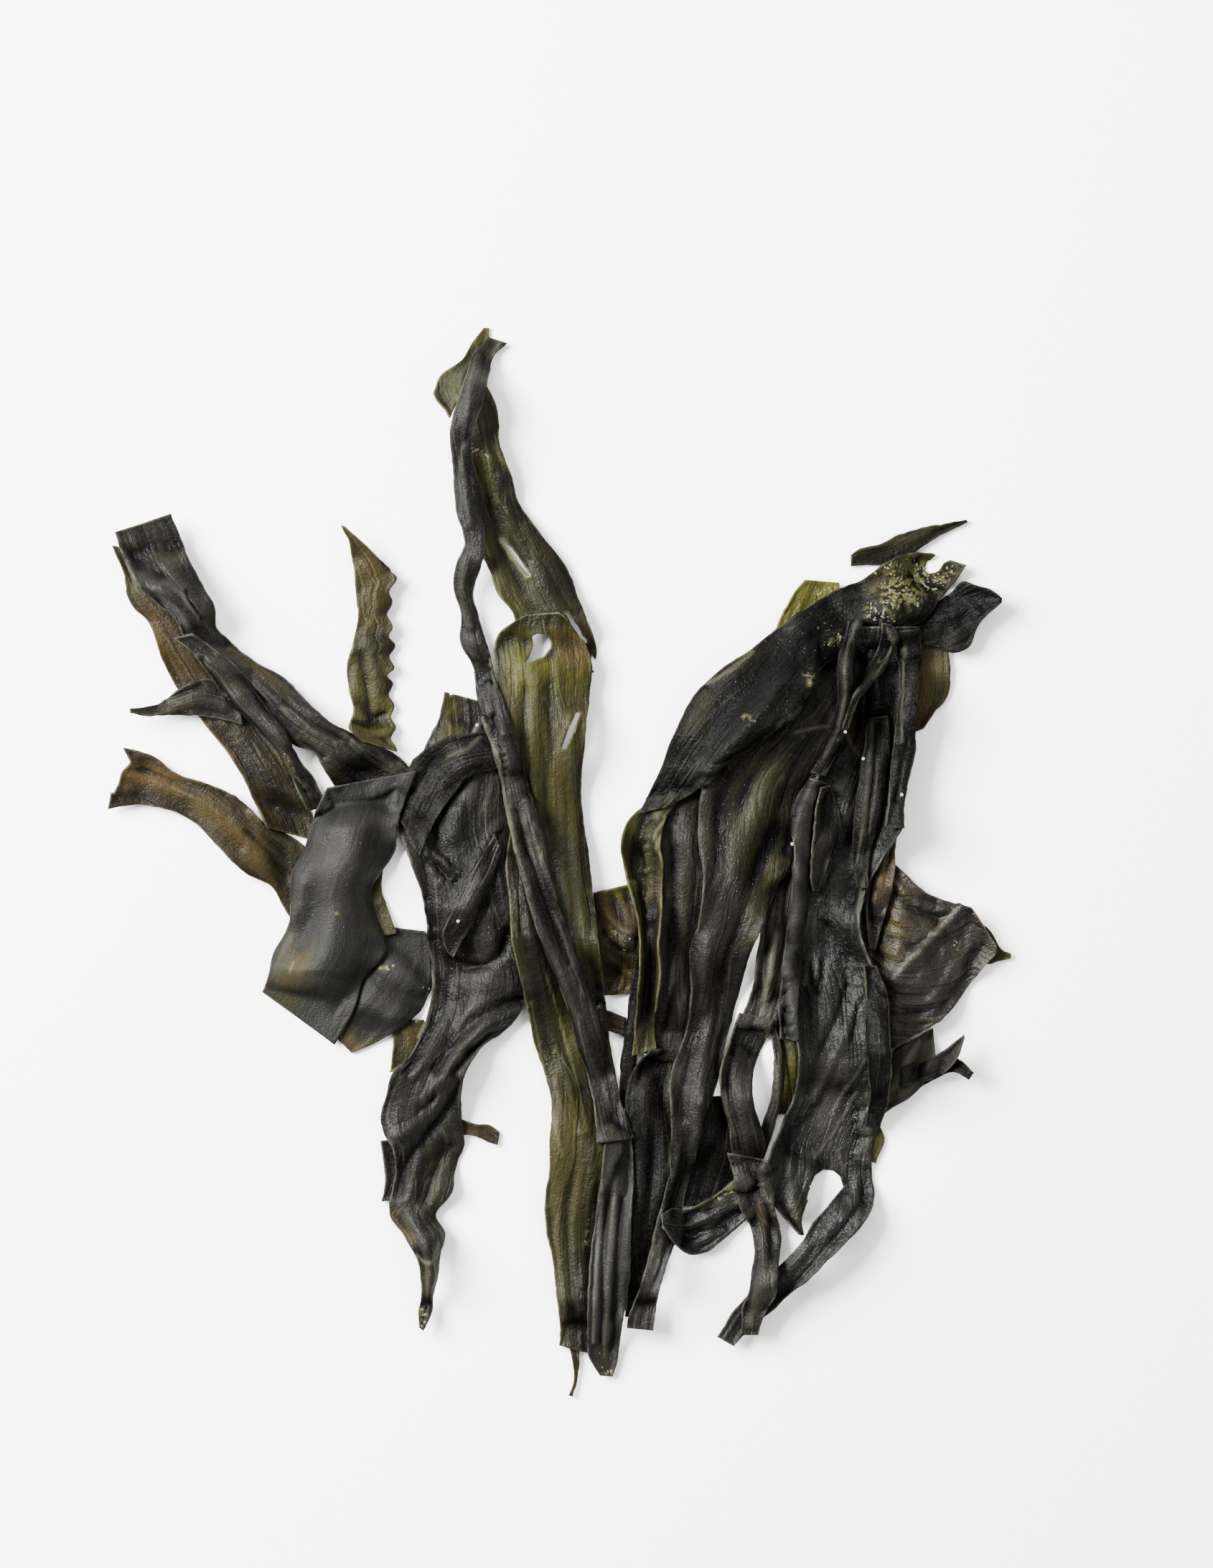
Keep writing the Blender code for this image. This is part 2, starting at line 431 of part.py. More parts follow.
def strip_edges(rungs, pitch):
    """Return the left and right edge points at even stations, and the distance along."""
    table = np.array(rungs, dtype=float)
    left, right = table[:, :2], table[:, 2:]
    middle = (left + right) / 2.0
    knots = np.concatenate(([0.0], np.cumsum(np.linalg.norm(np.diff(middle, axis=0), axis=1))))
    stations = max(MIN_STATIONS, int(round(knots[-1] / pitch)))
    wanted = np.linspace(0.0, knots[-1], stations + 1)
    return smooth_curve(left, knots, wanted), smooth_curve(right, knots, wanted), wanted


def spread_narrow(left, right):
    """Widen the rungs that are narrower than the least width."""
    across = right - left
    width = np.linalg.norm(across, axis=1, keepdims=True)
    extra = np.maximum(MIN_WIDTH - width, 0.0) / 2.0 * across / width
    return left - extra, right + extra


def add_strip(blade_mesh, blade, strip, distance_before):
    """Add one strip of a blade as a grid moved to its place, and return its length."""
    left, right, distance = strip_edges(strip.rungs, blade.pitch)
    left, right = spread_narrow(left, right)
    if blade.scallop:
        wave = blade.scallop * np.sin(2.0 * math.pi * distance / blade.scallop_pitch)
        across = (right - left) / np.linalg.norm(right - left, axis=1, keepdims=True)
        right = right + across * wave[:, None]
    stations = len(distance) - 1
    mean_width = float(np.mean(np.linalg.norm(right - left, axis=1)))
    cells = strip.cells or int(np.clip(round(mean_width / CELL_WIDTH), MIN_CELLS, MAX_CELLS))
    across_layer = blade_mesh.verts.layers.float["across"]
    along_layer = blade_mesh.verts.layers.float["along"]
    grid = bmesh.ops.create_grid(blade_mesh, x_segments=cells, y_segments=stations, size=0.5)
    for vert in grid["verts"]:
        u = vert.co.x + 0.5
        row = int(round((vert.co.y + 0.5) * stations))
        place = left[row] + (right[row] - left[row]) * u
        vert[across_layer] = strip.across_from + (strip.across_to - strip.across_from) * u
        vert[along_layer] = distance_before + distance[row]
        vert.co = ((place[0] - LAYOUT_CENTRE[0]) * MM, (place[1] - LAYOUT_CENTRE[1]) * MM, 0.0)
    return float(distance[-1])


def flat_blade(blade):
    """Build the blade's outline as a flat sheet of triangles, and return it with its length."""
    sheet = bmesh.new()
    sheet.verts.layers.float.new("across")
    sheet.verts.layers.float.new("along")
    first_length = add_strip(sheet, blade, blade.strips[0], 0.0)
    length = first_length
    for strip in blade.strips[1:]:
        length = max(length, first_length + add_strip(sheet, blade, strip, first_length))
    bmesh.ops.remove_doubles(sheet, verts=sheet.verts, dist=WELD_DISTANCE)
    bmesh.ops.triangulate(sheet, faces=sheet.faces, quad_method="FIXED")
    sheet.normal_update()
    if sum(face.normal.z for face in sheet.faces) < 0.0:
        bmesh.ops.reverse_faces(sheet, faces=sheet.faces)
    sheet.verts.index_update()
    return sheet, length


def own_form(relief, across, along, length, random):
    """Return how far each point of a blade stands over a blade that lay flat."""
    phase = random.uniform(0.0, 2.0 * math.pi, 4)
    side = 2.0 * across - 1.0
    turn = 2.0 * math.pi
    form = relief.crown * (1.0 - side**2) + relief.cup * side**2
    drift = 0.22 * np.sin(turn * along / 95.0 + phase[0])
    form = form + relief.ridge_height * 0.5 * (1.0 + np.cos(turn * (relief.ridges * across + drift)))
    ruffle_turn = turn * along / relief.ruffle_pitch + phase[1] + 1.9 * np.sign(side)
    form = form + relief.ruffle * side**2 * 0.5 * (1.0 + np.sin(ruffle_turn))
    form = form + relief.sway * 0.5 * (1.0 + np.sin(turn * along / relief.sway_pitch + phase[2]))
    end_distance = np.minimum(along, length - along)
    form = form * smooth_step((end_distance - FLAT_END) / FADE_LENGTH)
    form = form + relief.lift_start * smooth_step(1.0 - along / LIFT_LENGTH)
    return form + relief.lift_end * smooth_step(1.0 - (length - along) / LIFT_LENGTH)


def triangle_samples(largest_edge):
    """Return barycentric weights that cover a triangle no coarser than the sample pitch."""
    count = max(2, int(math.ceil(largest_edge / SAMPLE_PITCH)))
    weights = [(i, j, count - i - j) for i in range(count + 1) for j in range(count + 1 - i)]
    return np.array(weights, dtype=float) / count


def neighbour_mean(height, edges, degree):
    """Return each point's mean over the points joined to it."""
    total = np.zeros_like(height)
    np.add.at(total, edges[:, 0], height[edges[:, 1]])
    np.add.at(total, edges[:, 1], height[edges[:, 0]])
    return total / degree


def longest_edge(points, triangles):
    """Return the longest edge of the triangles, seen from above."""
    corners = points[triangles][:, :, :2]
    return float(np.max(np.linalg.norm(corners - np.roll(corners, 1, axis=1), axis=2)))


def sample_sheet(points, height, triangles, weights):
    """Return the samples of every triangle of the sheet, at the given heights."""
    return np.einsum("sk,tkc->tsc", weights, np.column_stack((points[:, :2], height))[triangles])


def settle(points, height, triangles, weights, floor, field):
    """Return heights raised until no sample of any triangle is below the floor."""
    for last in [False] * SETTLE_ROUNDS + [True]:
        samples = sample_sheet(points, height, triangles, weights)
        cells = field.cells(samples.reshape(-1, 3))
        short = (floor[cells] - samples.reshape(-1, 3)[:, 2]).reshape(samples.shape[:2])
        short = np.maximum(short, 0.0)
        raise_by = np.zeros_like(height)
        if last:
            need = np.repeat(short.max(axis=1)[:, None], 3, axis=1)
        else:
            share = weights / np.sum(weights**2, axis=1, keepdims=True)
            need = np.max(short[:, :, None] * share[None, :, :], axis=1)
        np.maximum.at(raise_by, triangles.ravel(), need.ravel())
        height = height + raise_by
    return height


def press_down(points, height, triangles, weights, floor, field, radius):
    """Return heights dipped, within the radius, to touch each blade that lies under this one."""
    samples = sample_sheet(points, height, triangles, weights).reshape(-1, 3)
    cells = field.cells(samples)
    owners = field.owner[cells]
    clearance = samples[:, 2] - floor[cells]
    blocked = floor[cells] - field.top[cells] > LAYER_GAP + OPEN_STEP
    for owner in np.unique(owners[owners != NOTHING]):
        over = np.flatnonzero(owners == owner)
        nearest = over[np.argmin(clearance[over] + samples[:, 2].max() * blocked[over])]
        distance = np.hypot(points[:, 0] - samples[nearest, 0], points[:, 1] - samples[nearest, 1])
        reach = smooth_step((radius - distance) / (radius * (1.0 - PRESS_CORE)))
        height = height - max(clearance[nearest], 0.0) * reach
    return height


def lay(sheet, blade, length, field, random):
    """Give a flat blade its heights over what already lies there."""
    points = np.array([vert.co[:] for vert in sheet.verts]) / MM
    across_layer = sheet.verts.layers.float["across"]
    along_layer = sheet.verts.layers.float["along"]
    across = np.array([vert[across_layer] for vert in sheet.verts])
    along = np.array([vert[along_layer] for vert in sheet.verts])
    triangles = np.array([[vert.index for vert in face.verts] for face in sheet.faces])
    edges = np.array([[vert.index for vert in edge.verts] for edge in sheet.edges])
    degree = np.bincount(edges.ravel(), minlength=len(points)).astype(float)
    floor = field.least_height()
    weights = triangle_samples(longest_edge(points, triangles))
    least = floor[field.cells(points)]
    height = least.copy()
    for _ in range(DRAPE_ROUNDS):
        height = np.maximum(least, neighbour_mean(height, edges, degree))
    height = height + own_form(blade.relief, across, along, length, random)
    height = settle(points, height, triangles, weights, floor, field)
    for radius in PRESS_RADII:
        height = press_down(points, height, triangles, weights, floor, field, radius)
        height = settle(points, height, triangles, weights, floor, field)
    for vert, z in zip(sheet.verts, height):
        vert.co.z = z * MM


def plain_material(name, colour):
    """Make the blade's own material."""
    material = bpy.data.materials.new(name + "_finish")
    material.use_nodes = True
    shader = material.node_tree.nodes["Principled BSDF"]
    shader.inputs["Base Color"].default_value = (*COLOURS[colour], 1.0)
    shader.inputs["Roughness"].default_value = ROUGHNESS[colour]
    shader.inputs["Metallic"].default_value = 0.0
    return material


def blade_object(sheet, blade, collection):
    """Make the object of a laid blade, with its thickness as a modifier."""
    mesh = bpy.data.meshes.new(blade.name)
    sheet.to_mesh(mesh)
    sheet.free()
    mesh.shade_smooth()
    mesh.materials.append(plain_material(blade.name, blade.colour))
    made = bpy.data.objects.new(blade.name, mesh)
    collection.objects.link(made)
    wall = made.modifiers.new("thickness", "SOLIDIFY")
    wall.thickness = THICKNESS * MM
    wall.offset = 1.0
    wall.use_rim = True
    return made


def solid_samples(made):
    """Return points all over the finished solid, in millimetres."""
    bpy.context.view_layer.update()
    solid = made.evaluated_get(bpy.context.evaluated_depsgraph_get())
    mesh = solid.to_mesh()
    mesh.calc_loop_triangles()
    points = np.array([vert.co[:] for vert in mesh.vertices]) / MM
    triangles = np.array([loop.vertices[:] for loop in mesh.loop_triangles])
    weights = triangle_samples(longest_edge(points, triangles))
    samples = np.einsum("sk,tkc->tsc", weights, points[triangles]).reshape(-1, 3)
    solid.to_mesh_clear()
    return samples


def build_clump():
    """Lay every blade in order."""
    collection = bpy.data.collections.new("clump_of_dried_kombu")
    bpy.context.scene.collection.children.link(collection)
    random = np.random.default_rng(SEED)
    field = HeightField()
    for owner, blade in enumerate(BLADES):
        sheet, length = flat_blade(blade)
        lay(sheet, blade, length, field, random)
        made = blade_object(sheet, blade, collection)
        field.add(solid_samples(made), owner)


def clear_scene():
    """Remove whatever the scene holds."""
    for item in list(bpy.data.objects):
        bpy.data.objects.remove(item, do_unlink=True)


clear_scene()
build_clump()
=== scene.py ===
"""Dried kombu clump: its fronds in fine detail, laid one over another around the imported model.

Each frond is a thin sheet. Its outline is a run of rungs, each where a line across the frond meets
its two edges: x and y of the left point, then of the right one, in millimetres seen from above.
Fronds are laid lowest first, and each one drapes over what already lies there. The sheets carry
attributes that the finishes read.
"""
from __future__ import annotations

import logging
import math
from dataclasses import dataclass
from enum import Enum

import bpy
import numpy as np
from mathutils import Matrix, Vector
from mathutils.kdtree import KDTree

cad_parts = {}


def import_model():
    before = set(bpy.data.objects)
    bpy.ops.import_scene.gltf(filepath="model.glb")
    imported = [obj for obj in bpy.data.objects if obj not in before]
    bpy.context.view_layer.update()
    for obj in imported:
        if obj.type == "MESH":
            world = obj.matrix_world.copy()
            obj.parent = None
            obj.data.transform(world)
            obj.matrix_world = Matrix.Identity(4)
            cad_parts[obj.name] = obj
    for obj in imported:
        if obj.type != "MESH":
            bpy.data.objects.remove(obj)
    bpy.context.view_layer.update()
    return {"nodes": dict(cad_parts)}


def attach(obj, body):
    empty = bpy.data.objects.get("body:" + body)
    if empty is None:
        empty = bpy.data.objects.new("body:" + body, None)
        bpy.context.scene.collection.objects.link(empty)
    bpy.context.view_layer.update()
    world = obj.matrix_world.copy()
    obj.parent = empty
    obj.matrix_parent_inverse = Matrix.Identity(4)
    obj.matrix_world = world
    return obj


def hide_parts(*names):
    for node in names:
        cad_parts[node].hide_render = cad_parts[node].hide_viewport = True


LOG = logging.getLogger("kombu")

Point = tuple[float, float]

MM = 0.001
WALL = 0.7
LAYER_GAP = 0.3
LAYOUT_CENTRE = np.array((0.0, -0.25))
SPACING = 0.85
LEAST_COLUMNS = 4
MIN_WIDTH = 1.6
FIELD_CELL = 0.7
FIELD_HALF = 250.0
CLEARANCE = 1.4
FIELD_SUBSTEPS = 3
STEEPEST = 0.35
DRAPE_ROUNDS = 150
SOFTEN_ROUNDS = 3
SOFTEN_BELOW = 0.6
PRESS_RADII = (26.0, 19.0, 14.0, 11.0, 9.0)
PRESS_CORE = 0.35
OPEN_STEP = 0.25
NOTHING = -1
FLAT_END = 9.0
FADE_LENGTH = 14.0
LIFT_LENGTH = 26.0
WELD_DIGITS = 3
LATTICE = 64
SEED = 41
SEED_STEP = 1000
PHASES = 4
TINY = 1e-9
EDGE_REACH = 6.0
LEDGE_WIDTH = 1.6
RIDGE_ROUNDS = 22
RIDGE_STEP = 0.8
BODY = "root"

EDGE_SIDE_SHIFT = 17.3
EDGE_WAVE_PITCH = 6.5
EDGE_WAVE_SHARE = 1.5
EDGE_RIPPLE_PITCH = 2.1
EDGE_RIPPLE_SHIFT = 5.7
EDGE_RIPPLE_SHARE = 0.8
EDGE_WELD_FADE = 4.0
SCALLOP_FADE = 3.0
RIDGE_DRIFT = 0.22
RIDGE_DRIFT_PITCH = 95.0
RUFFLE_SIDE_PHASE = 1.9

BROAD_SHARE = 0.6
CREASE_ACROSS_SHARE = 0.6
CREASE_ALONG_SHARE = 0.8
CREASE_SHIFT = 9.1
CREASE_SHARE = 0.55
PUCKER_ACROSS_SHARE = 0.45
PUCKER_ALONG_SHARE = 0.2
PUCKER_SHIFT = 21.7
PUCKER_SHARE = 0.25
SHARP_ACROSS = 5.0
SHARP_ALONG = 60.0
SHARP_SHIFT = 47.9
SHARP_SHARE = 0.6
SHARP_POWER = 5
CURL_WIDTH = 2.4
CURL_ACROSS = 40.0
CURL_ALONG = 11.0
CURL_SHIFT = 33.3
CURL_LEAST = 0.35
CURL_SPREAD = 0.9


class Look(Enum):
    """The finishes a frond can have."""

    BLACK = "black"
    CHARCOAL = "charcoal"
    SATIN = "satin"
    GLOSSY = "glossy"
    OLIVE = "olive"
    YELLOW_GREEN = "yellow_green"
    BROWN = "brown"
    RED_BROWN = "red_brown"
    SALTED = "salted"


class Mark(Enum):
    """What a stroke changes on a frond. Calling a mark draws a stroke of it.

    A fold is a crease line: a ridge where its amount is positive, a valley where it is negative. A
    ledge is the edge of a fold that stands over what lies right of the line's way. The rest are
    zones: orange-brown, yellow-green and olive skin, near-black painted shade, pale painted highlight
    as a hairline or a soft patch, pale crust, salt specks.
    """

    FOLD = "fold"
    LEDGE = "ledge"
    WARM = "warm"
    GREEN = "green"
    OLIVE = "olive"
    DARK = "dark"
    PAINTED_HIGHLIGHT = "painted_highlight"
    CRUST = "crust"
    SPECK = "speck"

    def __call__(self, reach: float, amount: float, *places: float) -> Stroke:
        """Return a stroke: its reach in millimetres, its height or share, then each point's x and y."""
        return Stroke(self, tuple(zip(places[::2], places[1::2])), reach, amount)


# dark draws near-black painted shade in hollows, gaps and on slopes that face the key light.
# painted_highlight draws pale painted highlight: hairlines on fold edges and soft patches that lift shaded
# parts.
fold, ledge, warm, green, olive, dark, painted_highlight, crust, speck = Mark


@dataclass(frozen=True)
class Stroke:
    """A line drawn on a frond, in millimetres, that fades out over its reach."""

    mark: Mark
    points: tuple[Point, ...]
    reach: float
    amount: float


@dataclass(frozen=True)
class Form:
    """Heights in millimetres that a frond's own form adds over what it lies on."""

    crown: float = 2.0
    cup: float = 0.0
    ridges: float = 0.0
    ridge_height: float = 0.0
    ruffle: float = 1.6
    ruffle_pitch: float = 34.0
    sway: float = 2.4
    sway_pitch: float = 84.0
    lift_start: float = 0.0
    lift_end: float = 0.0
    lip: float = 0.7
    crumple: float = 0.8
    crumple_across: float = 9.0
    crumple_along: float = 24.0
    ragged: float = 0.4


@dataclass(frozen=True)
class Strip:
    """A run of rungs, four numbers to a rung, and the part of the frond's width that it covers."""

    rungs: tuple[float, ...]
    across_from: float = 0.0
    across_to: float = 1.0


@dataclass(frozen=True)
class Frond:
    """One frond or strap: its node name, finish, form, outline and strokes."""

    name: str
    look: Look
    form: Form
    rungs: tuple[float, ...]
    fingers: tuple[Strip, ...] = ()
    scallop: float = 0.0
    scallop_pitch: float = 8.5
    scallop_from: float = 0.0
    strokes: tuple[Stroke, ...] = ()
    cuts: tuple[tuple[Point, ...], ...] = ()


def linear(hex_colour: str) -> tuple[float, float, float, float]:
    """Turn an sRGB hex value into a linear colour.

    Args:
        hex_colour: The colour as six hex digits after a hash sign.

    Returns:
        The linear red, green, blue and an alpha of one.
    """
    parts = [int(hex_colour[start:start + 2], 16) / 255.0 for start in (1, 3, 5)]
    values = [part / 12.92 if part <= 0.04045 else ((part + 0.055) / 1.055) ** 2.4 for part in parts]
    return values[0], values[1], values[2], 1.0


def open_socket(sockets: bpy.types.bpy_prop_collection, name: str | int) -> bpy.types.NodeSocket:
    """Return the usable socket of that name or place.

    Args:
        sockets: A node's inputs or outputs.
        name: The socket's name, or its place.

    Returns:
        The socket.
    """
    if isinstance(name, int):
        return sockets[name]
    return next(socket for socket in sockets if socket.enabled and socket.name == name)


def add_node(tree: bpy.types.NodeTree, kind: str, inputs: dict | None = None,
             **settings) -> bpy.types.Node:
    """Add a node with its settings, values and links.

    Args:
        tree: The node tree that gets the node.
        kind: The node's type name.
        inputs: A value, a socket or a node to link for each input, by its name or place.
        settings: The node's own properties.

    Returns:
        The new node.
    """
    node = tree.nodes.new(kind)
    for name, value in settings.items():
        setattr(node, name, value)
    for name, value in (inputs or {}).items():
        target = open_socket(node.inputs, name)
        if isinstance(value, bpy.types.Node):
            value = next(socket for socket in value.outputs if socket.enabled)
        if isinstance(value, bpy.types.NodeSocket):
            tree.links.new(value, target)
        else:
            target.default_value = value
    return node


def smooth_step(value: np.ndarray) -> np.ndarray:
    """Rise smoothly from 0 to 1."""
    clipped = np.clip(value, 0.0, 1.0)
    return clipped * clipped * (3.0 - 2.0 * clipped)


def lattice_noise(x: np.ndarray, y: np.ndarray, table: np.ndarray) -> np.ndarray:
    """Return smooth random values from 0 to 1.

    Args:
        x: Places across, in lattice steps.
        y: Places along, in lattice steps.
        table: A square table of random values.

    Returns:
        One value for each place.
    """
    column, row = np.floor(x).astype(int), np.floor(y).astype(int)
    step_x, step_y = smooth_step(x - column), smooth_step(y - row)
    size = len(table)
    left, right = column % size, (column + 1) % size
    near, far = (table[line % size, left] * (1.0 - step_x) + table[line % size, right] * step_x
                 for line in (row, row + 1))
    return near * (1.0 - step_y) + far * step_y


def nearest_on_line(points: np.ndarray,
                    line: tuple[Point, ...]) -> tuple[np.ndarray, np.ndarray, np.ndarray]:
    """Return how each point lies to a line of straight runs.

    Args:
        points: The points, one to a row.
        line: The line's corners in order.

    Returns:
        The distances, then 1 for each point left of the line's way or -1 for one right of it, and
        the nearest places on the line.
    """
    best = np.full(len(points), np.inf)
    side = np.ones(len(points))
    places = points.copy()
    corners = np.array(line, dtype=float)
    for start, end in zip(corners[:-1], corners[1:]):
        run = end - start
        offset = points - start
        share = np.clip(offset @ run / max(float(run @ run), TINY), 0.0, 1.0)
        distance = np.linalg.norm(offset - share[:, None] * run, axis=1)
        nearer = distance < best
        best[nearer] = distance[nearer]
        side[nearer] = np.sign(run[0] * offset[nearer, 1] - run[1] * offset[nearer, 0])
        places[nearer] = start + share[nearer, None] * run
    return best, side, places


def inside_outline(points: np.ndarray, outline: tuple[Point, ...]) -> np.ndarray:
    """Return which points lie inside a closed outline.

    Args:
        points: The points, one to a row.
        outline: The outline's corners in order.

    Returns:
        True for each point inside.
    """
    inside = np.zeros(len(points), dtype=bool)
    corners = np.array(outline, dtype=float)
    for (x0, y0), (x1, y1) in zip(corners, np.roll(corners, -1, axis=0)):
        crosses = (y0 > points[:, 1]) != (y1 > points[:, 1])
        reach = x0 + (points[:, 1] - y0) * (x1 - x0) / (y1 - y0 if y1 != y0 else TINY)
        inside ^= crosses & (points[:, 0] < reach)
    return inside


class HeightField:
    """The top of everything laid so far, on a square grid of cells."""

    def __init__(self) -> None:
        """Start with a bare floor."""
        count = int(2 * FIELD_HALF / FIELD_CELL)
        self.top = np.zeros((count, count))
        self.owner = np.full((count, count), NOTHING)

    def cells(self, points: np.ndarray) -> tuple[np.ndarray, np.ndarray]:
        """Return the grid cells that hold the points."""
        index = ((points[:, :2] + FIELD_HALF) / FIELD_CELL).astype(int)
        return index[:, 0], index[:, 1]

    def add(self, points: np.ndarray, owner: int) -> None:
        """Raise the field to the given points, and note which frond is on top there.

        Args:
            points: Points of a frond's upper face.
            owner: The frond's place in the laying order.
        """
        before = self.top.copy()
        np.maximum.at(self.top, self.cells(points), points[:, 2])
        self.owner[self.top > before] = owner

    def least_height(self) -> np.ndarray:
        """Return the least height at which a new frond clears what is there.

        Returns:
            The height of each cell.
        """
        reach = int(math.ceil(CLEARANCE / FIELD_CELL))
        spread = self.top.copy()
        for dx in range(-reach, reach + 1):
            for dy in range(-reach, reach + 1):
                if math.hypot(dx, dy) * FIELD_CELL <= CLEARANCE:
                    spread = np.maximum(spread, np.roll(self.top, (dx, dy), (0, 1)))
        return np.where(spread > 0.0, spread + LAYER_GAP, 0.0)


def smooth_curve(points: np.ndarray, knots: np.ndarray, wanted: np.ndarray) -> np.ndarray:
    """Return points of the smooth curve through the points.

    Args:
        points: The points that the curve passes through.
        knots: The distance along at each point.
        wanted: The distances along at which the curve is read.

    Returns:
        One point for each wanted distance.
    """
    steps = np.diff(knots)[:, None]
    chords = np.diff(points, axis=0) / steps
    slopes = np.empty_like(points)
    slopes[0], slopes[-1] = chords[0], chords[-1]
    slopes[1:-1] = (chords[1:] * steps[:-1] + chords[:-1] * steps[1:]) / (steps[:-1] + steps[1:])
    index = np.clip(np.searchsorted(knots, wanted, side="right") - 1, 0, len(knots) - 2)
    step = (knots[index + 1] - knots[index])[:, None]
    t = (wanted - knots[index])[:, None] / step
    start = (2 * t**3 - 3 * t**2 + 1) * points[index] + (t**3 - 2 * t**2 + t) * step * slopes[index]
    end = (3 * t**2 - 2 * t**3) * points[index + 1] + (t**3 - t**2) * step * slopes[index + 1]
    return start + end


class Sheet:
    """A frond's middle surface: points seen from above, quads, and what the form needs."""

    def __init__(self, frond: Frond, owner: int) -> None:
        """Lay out the frond's outline as a flat grid of quads.

        Args:
            frond: The frond whose outline is laid out.
            owner: The frond's place in the laying order, which also seeds its noise.
        """
        self.frond = frond
        self.random = np.random.default_rng(SEED * SEED_STEP + owner)
        self.table = self.random.random((LATTICE, LATTICE))
        self.offset = self.random.uniform(0.0, LATTICE, 2)
        places: list[np.ndarray] = []
        quads: list[np.ndarray] = []
        first = Strip(frond.rungs)
        first_length = self._add_strip(first, 0.0, places, quads, bool(frond.fingers))
        self.length = first_length
        for finger in frond.fingers:
            reach = first_length + self._add_strip(finger, first_length, places, quads, True)
            self.length = max(self.length, reach)
        self._weld(np.concatenate(places), np.concatenate(quads))
        for outline in frond.cuts:
            self._cut(outline)
        self._join()

    def _edge_wave(self, distance: np.ndarray, side: float, welded: bool) -> np.ndarray:
        """Return how far an edge strays outwards along its length, in millimetres.

        Args:
            distance: The distances along the edge.
            side: 0 for the left edge or 1 for the right one.
            welded: Whether the edge's ends keep to their points.

        Returns:
            One stray for each distance.
        """
        across = np.full_like(distance, self.offset[0] + side * EDGE_SIDE_SHIFT)
        wave = lattice_noise(distance / EDGE_WAVE_PITCH, across, self.table) - 0.5
        ripple = lattice_noise(distance / EDGE_RIPPLE_PITCH, across + EDGE_RIPPLE_SHIFT, self.table) - 0.5
        stray = self.frond.form.ragged * (EDGE_WAVE_SHARE * wave + EDGE_RIPPLE_SHARE * ripple)
        if welded:
            end_distance = np.minimum(distance, distance[-1] - distance)
            stray = stray * smooth_step(end_distance / EDGE_WELD_FADE)
        return stray

    def _columns(self, width: np.ndarray, share: float) -> int:
        """Return how many quads lie across a strip, so that fingers meet their palm point by point.

        Args:
            width: The strip's widths.
            share: The share of the frond's width that it covers.

        Returns:
            The number of quads.
        """
        if not self.frond.fingers:
            return max(LEAST_COLUMNS, int(round(np.mean(width) / SPACING)))
        rungs = np.array(self.frond.rungs).reshape(-1, 4)
        palm_width = np.mean(np.linalg.norm(rungs[:, 2:] - rungs[:, :2], axis=1))
        return int(round(round(palm_width / SPACING) / 2.0) * 2 * share)

    def _add_strip(self, strip: Strip, before: float, places: list[np.ndarray], quads: list[np.ndarray],
                   welded: bool) -> float:
        """Add one strip as a grid of quads, and return its length.

        Args:
            strip: The strip that is added.
            before: The frond's length up to the strip.
            places: The rows of points so far: place, share across, distance along and sideways.
            quads: The quads so far.
            welded: Whether the strip's ends meet other strips, and so keep to their points.

        Returns:
            The strip's length.
        """
        rungs = np.array(strip.rungs, dtype=float).reshape(-1, 4)
        left, right = rungs[:, :2], rungs[:, 2:]
        middle = (left + right) / 2.0
        knots = np.concatenate(([0.0], np.cumsum(np.linalg.norm(np.diff(middle, axis=0), axis=1))))
        wanted = np.linspace(0.0, knots[-1], int(round(knots[-1] / SPACING)) + 1)
        left, right = smooth_curve(left, knots, wanted), smooth_curve(right, knots, wanted)
        span = right - left
        width = np.linalg.norm(span, axis=1, keepdims=True)
        unit = span / width
        extra = np.maximum(MIN_WIDTH - width, 0.0) / 2.0
        left = left - unit * (extra + self._edge_wave(wanted, 0.0, welded)[:, None])
        right = right + unit * (extra + self._edge_wave(wanted, 1.0, welded)[:, None])
        if self.frond.scallop:
            wave = np.sin(2.0 * math.pi * wanted / self.frond.scallop_pitch)
            wave = wave * smooth_step((wanted - self.frond.scallop_from) / SCALLOP_FADE)
            right = right + unit * (self.frond.scallop * wave)[:, None]
        share = strip.across_to - strip.across_from
        columns = self._columns(width, share)
        u = np.linspace(0.0, 1.0, columns + 1)
        grid = left[:, None, :] + (right - left)[:, None, :] * u[None, :, None]
        across = strip.across_from + share * u
        full_width = width / share
        count = sum(len(block) for block in places)
        rows = len(wanted)
        block = np.empty((rows, columns + 1, 5))
        block[:, :, :2] = grid
        block[:, :, 2] = across[None, :]
        block[:, :, 3] = before + wanted[:, None]
        block[:, :, 4] = (across[None, :] - 0.5) * full_width
        index = count + np.arange(rows * (columns + 1)).reshape(rows, columns + 1)
        corners = (index[:-1, :-1], index[:-1, 1:], index[1:, 1:], index[1:, :-1])
        quads.append(np.stack([corner.ravel() for corner in corners], axis=1))
        places.append(block.reshape(-1, 5))
        return float(wanted[-1])

    def _weld(self, places: np.ndarray, quads: np.ndarray) -> None:
        """Merge the points that strips share, and turn every quad to face up.

        Args:
            places: The rows of points of all strips.
            quads: The quads of all strips.
        """
        _, first, back = np.unique(
            np.round(places[:, :2], WELD_DIGITS), axis=0, return_index=True, return_inverse=True)
        places, quads = places[first], back.reshape(-1)[quads]
        across = places[quads[:, 1], :2] - places[quads[:, 0], :2]
        along = places[quads[:, 3], :2] - places[quads[:, 0], :2]
        if np.sum(across[:, 0] * along[:, 1] - across[:, 1] * along[:, 0]) < 0.0:
            quads = quads[:, ::-1]
        self.points = places[:, :2] - LAYOUT_CENTRE
        self.across, self.along, self.sideways = places[:, 2], places[:, 3], places[:, 4]
        self.quads = quads

